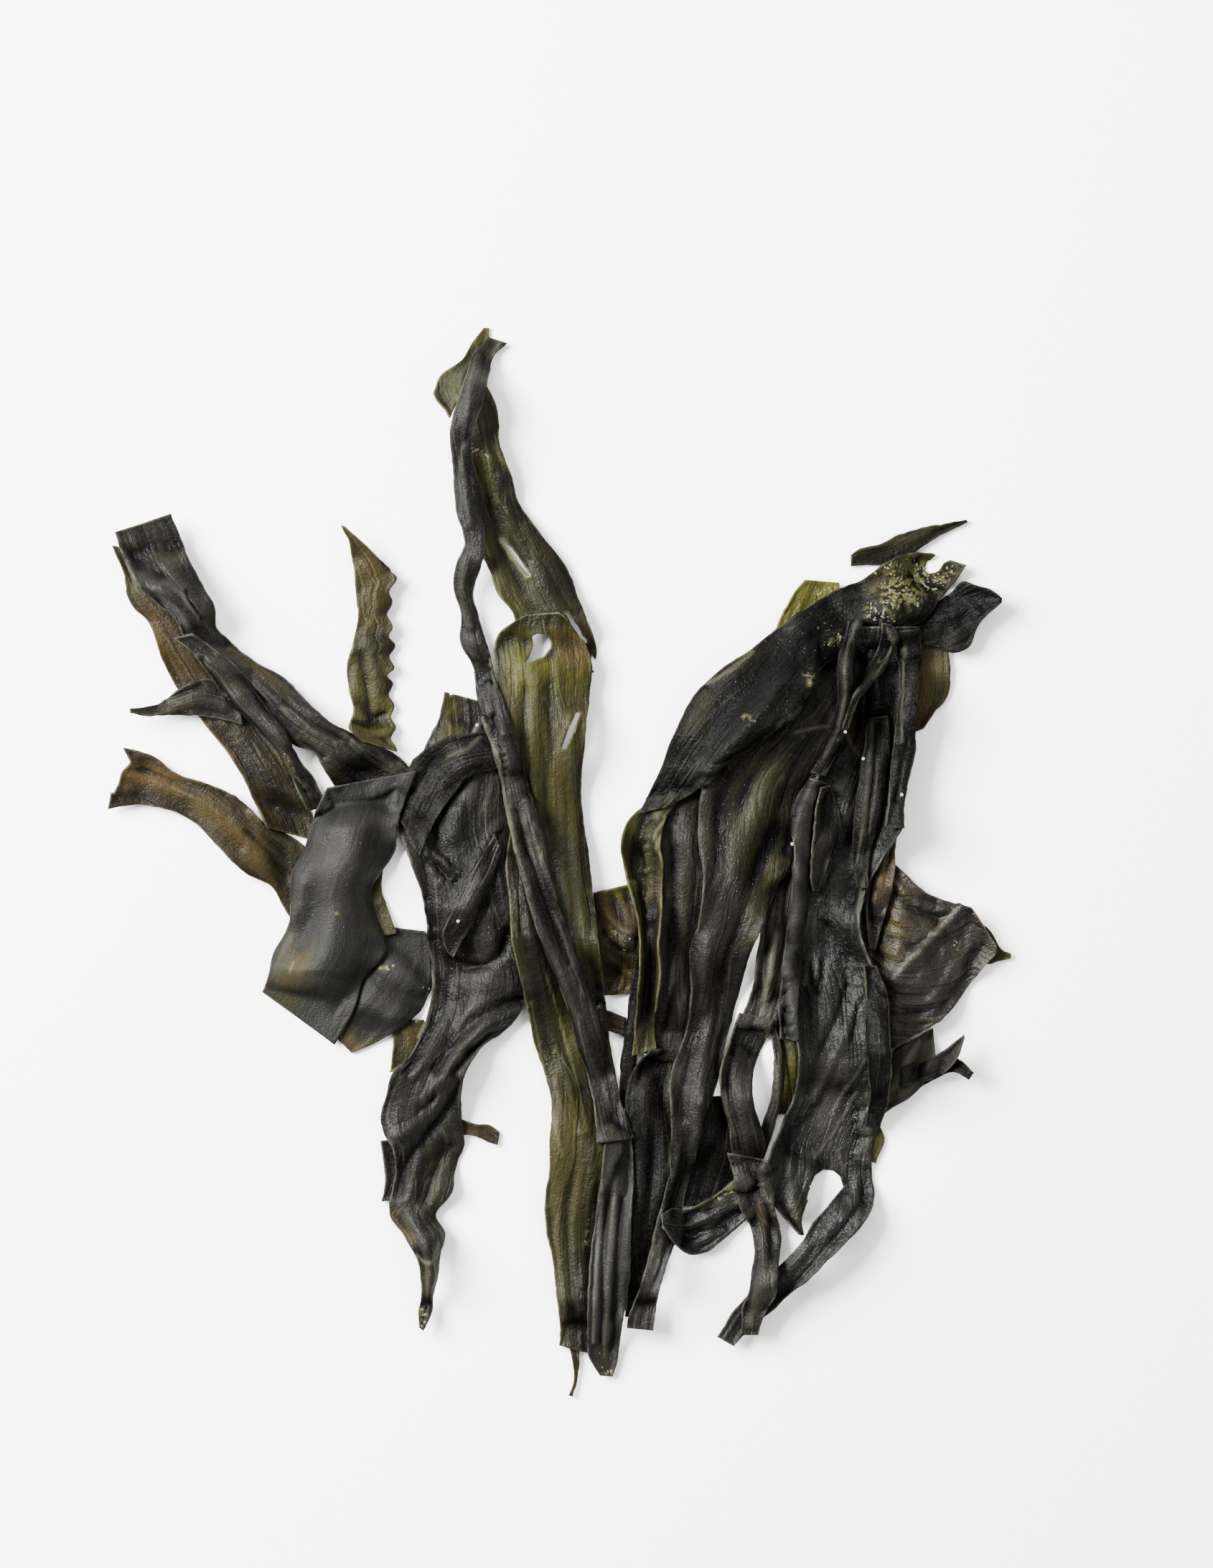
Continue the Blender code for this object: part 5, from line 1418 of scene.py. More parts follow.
INNER_FRONDS = (
    Frond("narrow_inner_strap", Look.BLACK, THIN_FOLD, (
        33, -31, 39, -31,  31, -45, 37, -45,  29, -60, 35, -60,  27, -75, 32.5, -75,  25, -92, 31, -90,
        25, -102, 30, -104,
    )),
    Frond("scoop_edge_strap", Look.CHARCOAL, STRAP, (
        47, 28.5, 58, 31.5,  43, 21, 60, 26,  38.5, 13, 62, 14,  37.5, 5, 62, 4,  38.5, -3, 64, -4,
        38.5, -13, 63, -14,  38, -23, 61, -24,  38, -33.5, 60, -34,  38, -45, 59, -45,  37, -60, 58, -60,
        35, -80, 56, -82,
    ), strokes=(
        fold(5, 1.0, 52, 22, 54, 0, 52, -30, 50, -64), fold(4, -1.3, 46, 12, 48, -14, 46, -44, 44, -70),
        olive(7, 0.6, 58, 24, 62, 10), painted_highlight(1.3, 0.9, 63, 2, 60, -14, 59, -34, 58, -56),
        dark(5, 0.7, 48, -10, 44, -60),
    )),
    Frond("olive_scoop", Look.OLIVE, SCOOP, (
        38, 25.5, 50, 27,  29, 18, 45, 19,  25.3, 8, 42, 8,  26.5, -2, 43, 0,  29, -12, 43, -12,
        31.5, -21, 43, -22,  33, -31, 41.5, -33,  33, -44, 42.5, -44,  32, -57, 41, -58,  31, -70, 39.5, -67,
        30, -81, 40.5, -78,
    ), strokes=(
        painted_highlight(1.0, 0.6, 46, 19, 40, 12, 41, 6, 46, -2, 47, -14, 45, -24),
        fold(5, -1.6, 37, 18, 34, 6, 36, -8, 38, -22), olive(9, 0.8, 30, 14, 31, -6),
        dark(7, 0.7, 40, 14, 40, -24, 36, -70), green(7, 0.35, 29, 8, 31, 16), dark(6, 0.6, 38, -20, 38, -60),
    )),
    Frond("lower_inner_strap", Look.BLACK, LEAF, (
        38, -78, 50, -78,  30, -88, 47, -88,  27.5, -98, 46, -98,  28, -112, 47, -112,  30, -128, 46.5, -128,
        30.5, -142, 43, -141,  29.5, -156, 41, -155,  28, -175, 38.5, -175,  27, -190, 36, -191,
    ), strokes=(
        fold(5, -1.2, 44, -84, 40, -110, 38, -140, 34, -180),
        fold(5, 1.2, 36, -82, 34, -110, 33, -140, 31, -176),
        painted_highlight(1.2, 0.8, 46, -84, 47, -110, 46, -130, 42, -152),
    )),
    Frond("yellow_patch_strap", Look.OLIVE, FLAT, (
        89, -64, 101, -65,  89.5, -80, 103, -80,  89.5, -92, 103.5, -92,  87, -106, 103, -104,
    ), strokes=(
        green(7.5, 1.3, 99, -83, 94, -98), fold(4, 1.0, 96, -70, 98, -86, 95, -102),
    )),
    Frond("thin_side_strap", Look.CHARCOAL, THIN_FOLD, (
        88, -69, 90.5, -69.5,  89, -78, 92.5, -78,  89.5, -88, 93, -88,  88.5, -98, 92, -98.5,
        85.5, -108, 89.5, -109.5,  82, -118, 86.5, -120,  79, -126, 83, -129,
    )),
    Frond("side_strap", Look.CHARCOAL, STRAP, (
        91, -2, 98, -3,  87.5, -15, 97, -15,  84.5, -27, 96, -28,  82, -40, 95, -40,  81, -50, 93.5, -52,
        78, -59, 92.5, -60,  75, -67, 90, -68,
    ), strokes=(
        fold(3, 1.4, 93, -6, 90, -30, 87, -56), fold(3, -1.4, 90, -8, 87, -30, 83, -56),
        painted_highlight(1.4, 1.0, 90, -30, 88, -46, 84, -64),
    )),
    Frond("lower_under_blade", Look.BLACK, STRAP, (
        60, -98, 75, -97,  59, -112, 77, -110,  56, -122, 77, -122,  53, -132, 76, -131,  49, -144, 74, -143,
    ), strokes=(
        dark(14, 0.7, 64, -110, 62, -134), fold(5, 1.0, 64, -104, 66, -120, 64, -136),
    )),
    Frond("broad_middle_blade", Look.CHARCOAL, FROND, (
        105, 91, 121, 95,  97, 78, 122, 81,  85, 62, 121, 66,  75, 50, 118, 58,  67, 42, 112, 48,
        60, 32, 106, 37,  58, 20, 99.5, 22,  58, 8, 98.5, 9,  59.5, -4, 96.5, -2,  59, -15, 89, -14,
        57.5, -26, 84.5, -26,  54.5, -38, 79, -38,  54.5, -50, 75.5, -50,  54, -62, 72.5, -62,
        51, -76, 69, -77,  46, -88, 66, -90,  46, -102, 62, -101,  47, -115, 58, -115,  46, -128, 55.5, -127,
        43, -140, 52, -140,  40, -152, 50, -152,  37, -165, 45, -165,  33, -178, 41.5, -177,
        29, -188, 40, -188,  28, -194, 39, -195,
    ), strokes=(
        fold(8, -1.6, 110, 56, 98, 42, 90, 22, 82, -4, 74, -30, 66, -60),
        fold(9, 1.4, 100, 58, 88, 38, 80, 14, 72, -12, 66, -38),
        fold(5, -1.0, 70, 42, 66, 22, 64, 0, 60, -26, 57, -60, 54, -90),
        fold(5, 1.2, 62, 30, 61, 4, 59, -28, 63, -60, 60, -100), fold(4, -0.9, 93, 4, 86, -14, 80, -34),
        fold(5, 0.8, 52, -110, 48, -140, 40, -170), olive(20, 0.6, 80, 36, 76, 10),
        green(16, 0.3, 90, 38, 84, -6), dark(20, 0.35, 84, 10, 76, -30, 64, -80),
        olive(10, 0.6, 86, 0, 76, -30), speck(14, 0.9, 66, 12, 76, -2), speck(22, 0.25, 70, 40, 80, -40),
        dark(10, 0.7, 110, 84, 114, 70), dark(8, 0.6, 62, -120, 50, -150),
        painted_highlight(1.2, 0.9, 98, 54, 106, 56, 112, 56.5),
    )),
    Frond("great_blade", Look.SALTED, GREAT, (
        155, 129, 170, 123.5,  145, 128.5, 160, 111,  136, 124.5, 151.5, 101.5,  127, 118, 140, 95.5,
        115, 113, 127, 90,  103, 106, 117, 86,  92, 98, 108, 80,  80, 88.5, 103, 70,  68, 80.5, 98, 61,
        58, 71.5, 90, 55,  51, 61, 81, 49.5,  46, 50, 72, 43,  42, 38, 63, 36,  37, 28, 57, 30,
        33, 20, 46, 23,
    ), strokes=(
        dark(26, 0.6, 112, 96, 90, 74, 66, 52), olive(10, 0.4, 74, 84, 92, 98), dark(14, 0.5, 98, 92, 78, 66),
        speck(24, 0.35, 120, 100, 80, 76),
        ledge(9, 2.2, 70, 44, 80, 49, 88, 53, 94, 57, 98, 61, 102, 65, 105, 71, 106.5, 78, 107, 86),
        fold(10, -1.7, 95, 93, 82, 78, 74, 64, 64, 46), fold(9, 1.2, 100, 88, 86, 70, 76, 56, 66, 40),
        fold(8, 1.0, 60, 66, 53, 50, 44, 34), fold(3, -1.0, 80, 48, 88, 55, 93, 61),
        fold(6, -1.0, 112, 108, 118, 100, 122, 94), painted_highlight(1.2, 0.8, 80, 87, 72, 80, 62, 74),
        olive(14, 0.7, 134, 117, 147, 120, 160, 121), olive(9, 0.5, 62, 68, 56, 58),
        green(7, 0.4, 146, 125, 154, 127), crust(12, 0.8, 142, 117, 152, 119),
        crust(8, 0.7, 135, 110, 146, 110), crust(5, 0.7, 130, 104, 136, 102),
        crust(5, 0.6, 158, 116, 164, 121), crust(3.2, 0.8, 103, 78, 105, 72),
        crust(2.5, 0.7, 97, 59, 101, 63), crust(4, 0.5, 114, 92, 119, 94), crust(2.2, 0.6, 76, 60, 79, 59),
        dark(7, 0.8, 131, 104, 128, 97),
    ), cuts=(
        ((157.5, 132), (156.8, 127.8), (153.5, 125.5), (152.3, 122), (154.3, 120.3), (158, 121.2),
            (160.5, 124.8), (163.5, 126.2), (163, 132)),
    )),
    Frond("wrinkled_scrap", Look.GLOSSY, WRINKLED, (
        42, -147, 42.5, -151,  46, -144.5, 47, -158,  53, -145, 54, -163.5,  60, -141.5, 61, -163,
        66, -138, 67.5, -158.5,  73, -132.5, 74, -153,  80, -128, 80, -147,
    ), strokes=(
        ledge(6, 1.8, 44, -147, 52, -146, 60, -143, 68, -139, 76, -134),
        fold(3, 1.5, 47, -154, 56, -151, 66, -147, 76, -141),
        fold(3, -1.5, 46, -158, 56, -156, 66, -152, 76, -146), fold(2.5, 1.2, 52, -162, 60, -158, 68, -154),
        olive(5, 0.7, 60, -143, 72, -136), crust(3, 0.6, 66, -140, 72, -136),
    )),
    Frond("lower_blade", Look.CHARCOAL, LEAF, (
        75, -63, 90, -66,  70, -76, 85, -77,  66.5, -88, 81, -86,  67.5, -98, 80.3, -98,
        70.5, -110, 83, -109,  71.5, -120, 86, -120,  73, -128, 83.5, -127,  76.5, -135, 80.5, -134.6,
    ), strokes=(
        fold(6, 1.3, 82, -70, 75, -84, 76, -104, 79, -126),
        fold(4, -1.3, 72, -80, 69, -90, 73, -106, 76, -124), fold(3, 1.0, 86, -72, 80, -84, 79, -98),
        dark(6, 0.6, 80, -70, 72, -86),
    )),
)


@dataclass
class InnerFronds(FrondGroup):
    """Broad blades and narrow straps between the middle and the palm."""

    fronds: tuple[Frond, ...] = INNER_FRONDS


MIDDLE_FRONDS = (
    Frond("top_olive_blade", Look.OLIVE, LEAF, (
        -32, 223, -29.5, 223,  -37, 216, -30, 217,  -42, 208, -33, 208,  -50, 202, -33, 202,
        -52.5, 196, -30, 198,  -48, 188, -26.5, 190,  -44, 181, -25.5, 182,  -41, 175, -25.5, 175,
        -39.5, 168, -23, 168,  -38, 160, -20, 160,  -37, 150, -17.5, 150,  -36, 142, -12, 142,
        -34, 134, -6, 134,  -32, 127, 1, 126,  -28.5, 119, 5, 118,  -25.5, 111, 7.5, 110,
        -20, 104, 10.5, 103,  -18, 97, 13.5, 96,  -15, 89, 15.5, 88,  -10, 79, 14.5, 79,
    ), strokes=(
        dark(12, 0.55, -47, 198, -40, 212), painted_highlight(1.4, 1.4, -24, 134, -19, 127, -13, 119),
        fold(4, 0.9, -24, 160, -20, 140, -8, 122, 2, 104),
        fold(4, -0.9, -30, 150, -26, 132, -16, 116, -6, 100), fold(3, 1.0, -14, 140, -4, 124, 6, 106),
        green(8, 0.7, -48, 204, -44, 196), green(6, 0.8, -36, 218, -32, 221),
        green(5, 0.6, -28, 184, -26, 190), warm(3, 0.8, -33, 166, -32, 164),
        crust(2.5, 0.5, -36, 171, -30, 168), green(2.2, 1.8, -29.2, 158.9, -28.8, 158.5),
        dark(17, 0.75, -22, 156, -6, 120, 4, 98), dark(9, 0.6, -34, 198, -28, 176),
        green(6, 0.7, -33, 165, -27, 150), dark(7, 0.5, -38, 176, -36, 150),
    ), cuts=(
        ((2, 103.6), (3.2, 103.8), (7.4, 98.6), (11.6, 91.6), (10.6, 91.2), (6, 97)),
        ((13.2, 87), (14.8, 84), (13.9, 79), (13.1, 80.5)),
        ((-46.2, 183.2), (-42.2, 193), (-41.4, 190), (-42.4, 184)),
        ((-10, 98), (-3, 97), (-1, 90), (-5, 83.5), (-13, 80), (-17.5, 81), (-14, 92)),
        ((-24.4, 134.4), (-23.2, 134.6), (-17.6, 127.4), (-12.2, 119.2), (-13.4, 119), (-19, 126)),
    )),
    Frond("long_olive_blade", Look.OLIVE, LONG_BLADE, (
        -14, 103, 0, 104,  -23, 97.5, 7, 98,  -27, 92, 11, 90,  -27, 84, 13.5, 82,  -26, 76, 13, 74,
        -25, 65, 12, 65,  -22, 50, 10.5, 50,  -20, 35, 9, 35,  -20, 20, 9, 22,  -22, 5, 12, 5,
        -22, -8, 13.5, -10,  -20.5, -22, 15, -23,  -19, -36, 17, -37,  -16, -50, 18, -50,
        -13, -63, 19.5, -62,  -11, -75, 21, -75,  -6, -89, 23.5, -90,  -3, -101, 25, -101,
        -3.5, -111, 25, -111,  -4, -120, 24, -120,  -4, -130, 20, -130,  -6, -143, 16.5, -142,
        -5.5, -155, 14.5, -153,  -3, -166, 13, -166,  -1, -180, 14, -180,  0, -193, 15, -195,
        -0.5, -202, 15, -206,
    ), strokes=(
        dark(13, 0.75, -15, 30, -14, -20, -4, -74), dark(9, 0.7, 12, 34, 14, -20, 16, -70),
        painted_highlight(0.9, 0.5, 2, -28, 10, -60, 17, -96), painted_highlight(0.9, 0.5, -6, -46, 4, -80, 11, -112),
        painted_highlight(0.9, 0.4, -12, -58, -6, -90, 1, -122), green(15, 1.0, -18, 88, -15, 78),
        warm(12, 1.3, 4, 90, 10, 86), dark(6, 0.6, -24, 92, -16, 100, -4, 102, 6, 101, 14, 90),
        green(14, 0.8, -4, 80, 8, 74), olive(20, 1.0, -8, 66, -5, 34),
        fold(4, -1.0, -14, 72, -16, 46, -13, 16, -8, -10),
        fold(4, -0.6, -5, 78, -4, 46, -6, 18, 1, -16, 6, -44),
        fold(4, 1.0, -10, 74, -10, 36, -8, 6, 0, -30, 6, -60), fold(4, 0.9, 4, 60, 5, 30, 7, 0, 10, -30),
        fold(3, -1.0, -16, -24, -10, -50, -4, -76, 4, -100),
        fold(4, 1.0, -12, -40, -6, -66, 2, -90, 10, -112), fold(4, -1.0, 8, -96, 6, -124, 3, -150, 6, -186),
        fold(4, 0.9, 0, -104, -1, -130, 0, -156, 3, -190), fold(3, 1.0, 14, -120, 12, -146, 10, -176),
        olive(9, 0.4, -2, -104, 0, -140, 3, -180), dark(9, 0.7, 13, -96, 12, -150, 10, -190),
        dark(8, 0.6, 16, -56, 18, -96), dark(7, 0.6, 4, -186, 8, -202), crust(2.4, 0.5, 14, -146, 11, -160),
    ), cuts=(
        ((-9, 95), (-5, 94), (-3.5, 91), (-4, 89), (-7, 85), (-13, 82.5), (-14.5, 82.5), (-12.5, 86),
            (-11, 90), (-11.5, 94)),
        ((2, 103.6), (3.2, 103.8), (7.4, 98.6), (11.6, 91.6), (10.6, 91.2), (6, 97)),
        ((7, 62.5), (8.6, 61.8), (5.6, 54), (2.4, 46.8), (0.9, 47.2), (3.4, 54.5)),
    )),
    Frond("base_strap", Look.SATIN, RIBBED, (
        19, -112, 30, -115,  17.5, -128, 31, -130,  15, -148, 30, -148,  12.5, -165, 29.5, -165,
        11.5, -182, 28, -180,  11.5, -197, 25.5, -196,  12.5, -207, 24, -208,  17, -214.5, 22, -215,
    ), strokes=(
        fold(1.8, 1.1, 18, -136, 16, -164, 14.5, -200), fold(1.8, -1.1, 20, -136, 18.5, -164, 17, -200),
        fold(1.8, 1.1, 23, -140, 21, -166, 19, -200), fold(1.8, -1.1, 26, -140, 24, -170, 21.5, -204),
        painted_highlight(1.1, 0.6, 17.5, -140, 15.5, -166, 14, -200), painted_highlight(1.0, 0.5, 23, -140, 21, -166, 18.5, -206),
        speck(12, 0.5, 22, -140, 18, -204), olive(6, 0.6, 18, -204, 20, -214),
        crust(2.6, 0.6, 18, -212, 22, -214),
    )),
    Frond("long_dark_ribbon", Look.CHARCOAL, RIBBON, (
        -30, 219, -22, 216.5,  -36, 212, -28, 210,  -38.5, 204, -29.5, 202,  -41, 195, -31, 194,
        -44, 184, -35, 183,  -45, 177, -37.5, 176,  -44.5, 168, -36.5, 168,  -43.5, 157, -33, 157,
        -43, 147, -32.5, 147,  -40, 137, -31.5, 137,  -39.5, 131, -31.5, 130,  -42, 125.5, -32, 125,
        -44, 118, -35, 118,  -43, 111, -36.5, 110.5,  -41, 103, -34.5, 103,  -41, 92, -31.5, 93,
        -37, 83, -28.5, 84,  -35, 72, -25.5, 73,  -33, 60, -21, 60,  -28, 47, -17, 46,  -24, 32, -12.5, 31,
        -22, 20, -9.5, 20,  -19, 8, -7, 8,  -15, -7, -3, -8,  -11, -22, 1.5, -22,  -6, -36, 6.5, -36,
        -0.5, -49, 11.5, -49,  4, -62, 15.5, -62,  8, -77, 19.5, -76,  12, -92, 23, -91,
        14.5, -105, 27, -104,  15.5, -117, 31, -115,
    ), strokes=(
        fold(2.6, 1.4, -34, 210, -38, 184, -40, 160, -37, 140), fold(2.6, 1.3, -39, 126, -40, 112, -37, 98),
        fold(2.2, 1.5, -29, 74, -21, 52, -14, 26, -6, 0, 2, -24),
        fold(2.2, -1.4, -27, 60, -20, 34, -14, 8, -6, -16, 4, -42),
        fold(2.4, 1.4, -22, 28, -17, 4, -10, -20, 0, -44, 10, -70, 18, -96),
        painted_highlight(1.2, 0.8, -32, 60, -25, 42, -22, 24, -18, 4), dark(4, 0.6, -34, 100, -32, 84),
        dark(7, 0.4, -30, 84, -20, 46), warm(6, 0.2, -16, 14, -8, 4),
    )),
)


@dataclass
class MiddleFronds(FrondGroup):
    """The long blades of the middle frond."""

    fronds: tuple[Frond, ...] = MIDDLE_FRONDS


PALM_FRONDS = (
    Frond("palm_with_fingers", Look.GLOSSY, PALM, PALM_RUNGS, fingers=PALM_FINGERS, strokes=(
        painted_highlight(1.2, 0.8, 124, -4, 126.5, -12, 124.5, -20, 126, -32, 130, -42, 133, -50),
        painted_highlight(1.1, 0.6, 118.5, 54, 122, 48, 126.5, 43, 129, 39, 130.5, 33),
        painted_highlight(1.0, 0.6, 127, -82, 118, -97, 113, -105), speck(12, 0.7, 113, -44, 118, -62),
        speck(9, 0.8, 128, -100, 130, -118), painted_highlight(1.0, 0.5, 124, -96, 115, -112, 106, -124),
        # The first stroke below is a wide highlight stroke that lifts a shaded hollow low on the palm:
        # painted light.
        painted_highlight(10, 0.3, 112, -84, 109, -106), speck(20, 0.2, 118, -10, 116, -110),
        fold(6, -1.7, 127, 92, 126, 72, 127, 50, 126, 30, 122, 8),
        fold(5, 1.2, 122, 88, 121, 66, 121, 48, 117, 30),
        fold(6, -1.6, 136, 90, 136, 66, 134, 44, 131, 26, 127, 6), fold(4, 1.2, 132, 86, 131, 60, 130, 44),
        fold(5, -1.3, 112, 44, 108, 26, 108, 0, 104, -14),
        ledge(6, 2.0, 127, -10, 125.5, -24, 127, -36, 131, -46, 134, -52),
        fold(8, 1.7, 116, -4, 115, -26, 114, -46, 112, -62), fold(2.2, 1.4, 104.5, -14, 104.5, -30, 103, -50),
        fold(2.2, -1.6, 106.5, -14, 106.5, -32, 105, -50), fold(2.2, 1.4, 108.8, -16, 108.5, -32, 107, -48),
        fold(2.4, -1.3, 112, -26, 111, -40, 108, -54), fold(3, -0.9, 120, -52, 115, -66, 108, -80, 104, -96),
        fold(3, 1.3, 124, -56, 120, -70, 113, -84, 107, -100),
        fold(3, -0.8, 128, -84, 122, -96, 114, -108, 104, -120),
        fold(3, 1.1, 131, -92, 125, -104, 118, -114, 108, -122),
        fold(1.6, -0.8, 118, -92, 112, -104, 106, -114),
        ledge(6, 1.8, 128, -116, 118, -119, 108, -120, 100, -118),
        fold(5, 1.6, 122, -124, 124, -136, 116, -150, 104, -162, 90, -178),
        fold(4, -1.3, 114, -132, 112, -144, 102, -156, 88, -172),
        fold(3, -1.3, 128, -128, 126, -142, 114, -158), fold(4, 1.0, 96, -124, 97, -136, 99, -148),
        painted_highlight(1.3, 0.8, 128.5, -96, 129, -110, 128, -118), dark(9, 0.75, 125, 92, 124, 60),
        dark(8, 0.8, 134, 80, 133, 48), dark(6, 0.8, 124, 40, 120, 10), warm(7, 0.3, 122, 60, 124, 46),
        dark(5, 0.7, 106, 24, 104, -6), olive(6, 0.6, 98, -144, 99, -152),
    ), cuts=(
        ((104, -135), (106, -131), (110, -128.8), (114, -129), (117, -131.5), (118.4, -136), (114, -141),
            (108, -147.5), (104.5, -151), (102.6, -146), (103, -140)),
    )),
    Frond("palm_right_lip", Look.SALTED, THIN_FOLD, (
        126, -42, 131.5, -43,  127, -55, 136, -55,  127, -70, 136.5, -70,  128, -85, 137.3, -85,
        129, -98, 137, -98,  127.5, -110, 133.5, -111,
    ), strokes=(
        dark(9, 0.7, 133, -46, 135, -100),
    )),
    Frond("inner_rib_fold", Look.BLACK, THIN_FOLD, (
        128, 60, 137, 61,  127, 48, 137.5, 48,  125, 36, 136, 37,  123.5, 24, 134, 24,  122.5, 10, 131, 11,
        122, -2, 129, -1,  124, -11, 128, -11,
    ), strokes=(
        dark(7, 0.9, 134, 62, 132, 50), fold(2.2, -1.6, 133, 56, 131, 36, 128, 14),
        painted_highlight(0.8, 0.6, 130, 58, 129, 40, 127, 20, 124, 0),
    )),
    Frond("right_rib_fold", Look.SALTED, THIN_FOLD, (
        140, 96, 150, 97,  141, 84, 150.5, 85,  141.5, 70, 148.8, 70,  140, 57, 147.5, 57,
        138.5, 45, 147.5, 46,  137.5, 34, 144.5, 34,  136.5, 24, 143, 24,  135, 14, 142.7, 14,
    ), strokes=(
        fold(2.4, -1.6, 146, 90, 145, 70, 144, 50, 140, 26), painted_highlight(0.8, 0.6, 144, 92, 143, 70, 142, 50),
    )),
    Frond("tube_fold", Look.SATIN, TUBE, (
        104, 35, 111, 33,  99.5, 28, 107, 27,  97.5, 18, 104.5, 19,  97, 6, 103.5, 6,  97, -7, 103, -7,
        96, -20, 103, -20,  94, -35, 101, -35,  92.5, -50, 99.5, -50,  91, -62, 99, -63,  92, -74, 99.5, -74,
    )),
    Frond("spindle_fold", Look.CHARCOAL, THIN_FOLD, (
        108, 31, 112.5, 32,  106, 22, 116, 22,  105, 12, 117, 13,  104, 2, 113, 2,  103.8, -6, 110, -5,
        105, -12, 107.5, -12,
    )),
    Frond("standing_fold", Look.BLACK, STANDING, (
        120.5, 101, 126.5, 100,  117, 89, 123, 90,  115.5, 80, 121.5, 80,  116, 68, 121.5, 68,
        113, 55, 119, 56,  108, 43, 114.5, 43,  104, 37, 110.5, 35.5,
    ), strokes=(
        painted_highlight(0.9, 0.7, 124, 100, 120, 90, 118, 82, 118.5, 68, 116, 56, 110, 43),
    )),
    Frond("grey_leaf_fold", Look.SALTED, TUBE, (
        134, 99.5, 138, 98.5,  133.5, 93, 141, 94,  131, 86, 139.5, 88,  127.5, 79, 135, 80.5,
        124.5, 73, 130, 75,  120.5, 67.5, 124.5, 69,  118.5, 61, 122, 62,  117, 55, 119.8, 55,
    ), strokes=(
        painted_highlight(0.9, 0.7, 136, 97, 139, 92, 136, 84, 130, 76),
    )),
    Frond("hanging_strap", Look.CHARCOAL, STRAP, (
        70, -121, 87, -124,  73, -133, 89, -135,  75, -144, 89.5, -144,  80, -153, 92, -153,
        81.5, -162, 91.8, -161,  80, -170, 90.5, -171,  79, -178, 89.5, -179,  76, -186, 86, -187,
        75.5, -192, 84, -192,  75, -197, 82.5, -197,
    ), strokes=(
        fold(4, 1.2, 80, -128, 84, -146, 86, -160, 84, -176, 80, -192),
        fold(3, -1.4, 84, -128, 88, -146, 88, -164), warm(6, 0.3, 82, -144, 86, -152),
    )),
)


@dataclass
class PalmFronds(FrondGroup):
    """The palm with its fingers, and the folds that lie on it."""

    fronds: tuple[Frond, ...] = PALM_FRONDS


def plain_material(name: str, colour: str, roughness: float) -> bpy.types.Material:
    """Return a material of one colour and one roughness.

    Args:
        name: The material's name.
        colour: Its sRGB hex value.
        roughness: Its roughness.

    Returns:
        The material.
    """
    material = bpy.data.materials.new(name)
    material.use_nodes = True
    shader = material.node_tree.nodes["Principled BSDF"]
    shader.inputs["Base Color"].default_value = linear(colour)
    shader.inputs["Roughness"].default_value = roughness
    return material


def new_tree(name: str, sizes: tuple[str, ...]) -> tuple[bpy.types.NodeTree, dict[str, str]]:
    """Return a geometry tree with the named inputs, and each input's identifier.

    Args:
        name: The tree's name.
        sizes: The names of its number inputs, besides its geometry, seed and material.

    Returns:
        The tree, and the identifier of each input by its name.
    """
    tree = bpy.data.node_groups.new(name, "GeometryNodeTree")
    kinds = {"Geometry": "Geometry", **dict.fromkeys(sizes, "Float"), "Seed": "Int", "Material": "Material"}
    names = {label: tree.interface.new_socket(
        label, in_out="INPUT", socket_type="NodeSocket" + kind).identifier for label, kind in kinds.items()}
    tree.interface.new_socket("Geometry", in_out="OUTPUT", socket_type="NodeSocketGeometry")
    return tree, names


def finish_tree(tree: bpy.types.NodeTree, instances: bpy.types.Node,
                material: bpy.types.NodeSocket) -> None:
    """End a geometry tree: make its instances real and give them their material.

    Args:
        tree: The geometry tree.
        instances: The node that makes the instances.
        material: The socket with the material.
    """
    real = add_node(tree, "GeometryNodeRealizeInstances", {"Geometry": instances})
    dressed = add_node(tree, "GeometryNodeSetMaterial", {"Geometry": real, "Material": material})
    add_node(tree, "NodeGroupOutput", {"Geometry": dressed})


def keep_result(bed: bpy.types.Object, name: str, tree: bpy.types.NodeTree, names: dict[str, str],
                values: dict) -> None:
    """Keep what a geometry tree makes on a bed as one plain mesh, and remove the bed.

    Args:
        bed: The object that the tree works on.
        name: The name of the piece that is kept.
        tree: The geometry tree.
        names: The identifier of each of the tree's inputs.
        values: The value of each input, by its name.
    """
    modifier = bed.modifiers.new(name, "NODES")
    modifier.node_group = tree
    for label, value in values.items():
        modifier[names[label]] = value
    bpy.context.view_layer.update()
    solid = bed.evaluated_get(bpy.context.evaluated_depsgraph_get())
    mesh = bpy.data.meshes.new_from_object(solid)
    mesh.name = name
    bed.modifiers.remove(modifier)
    bpy.data.objects.remove(bed, do_unlink=True)
    piece = add_object(name, mesh)
    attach(piece, BODY)
    LOG.info("%s: %d faces", piece.name, len(mesh.polygons))


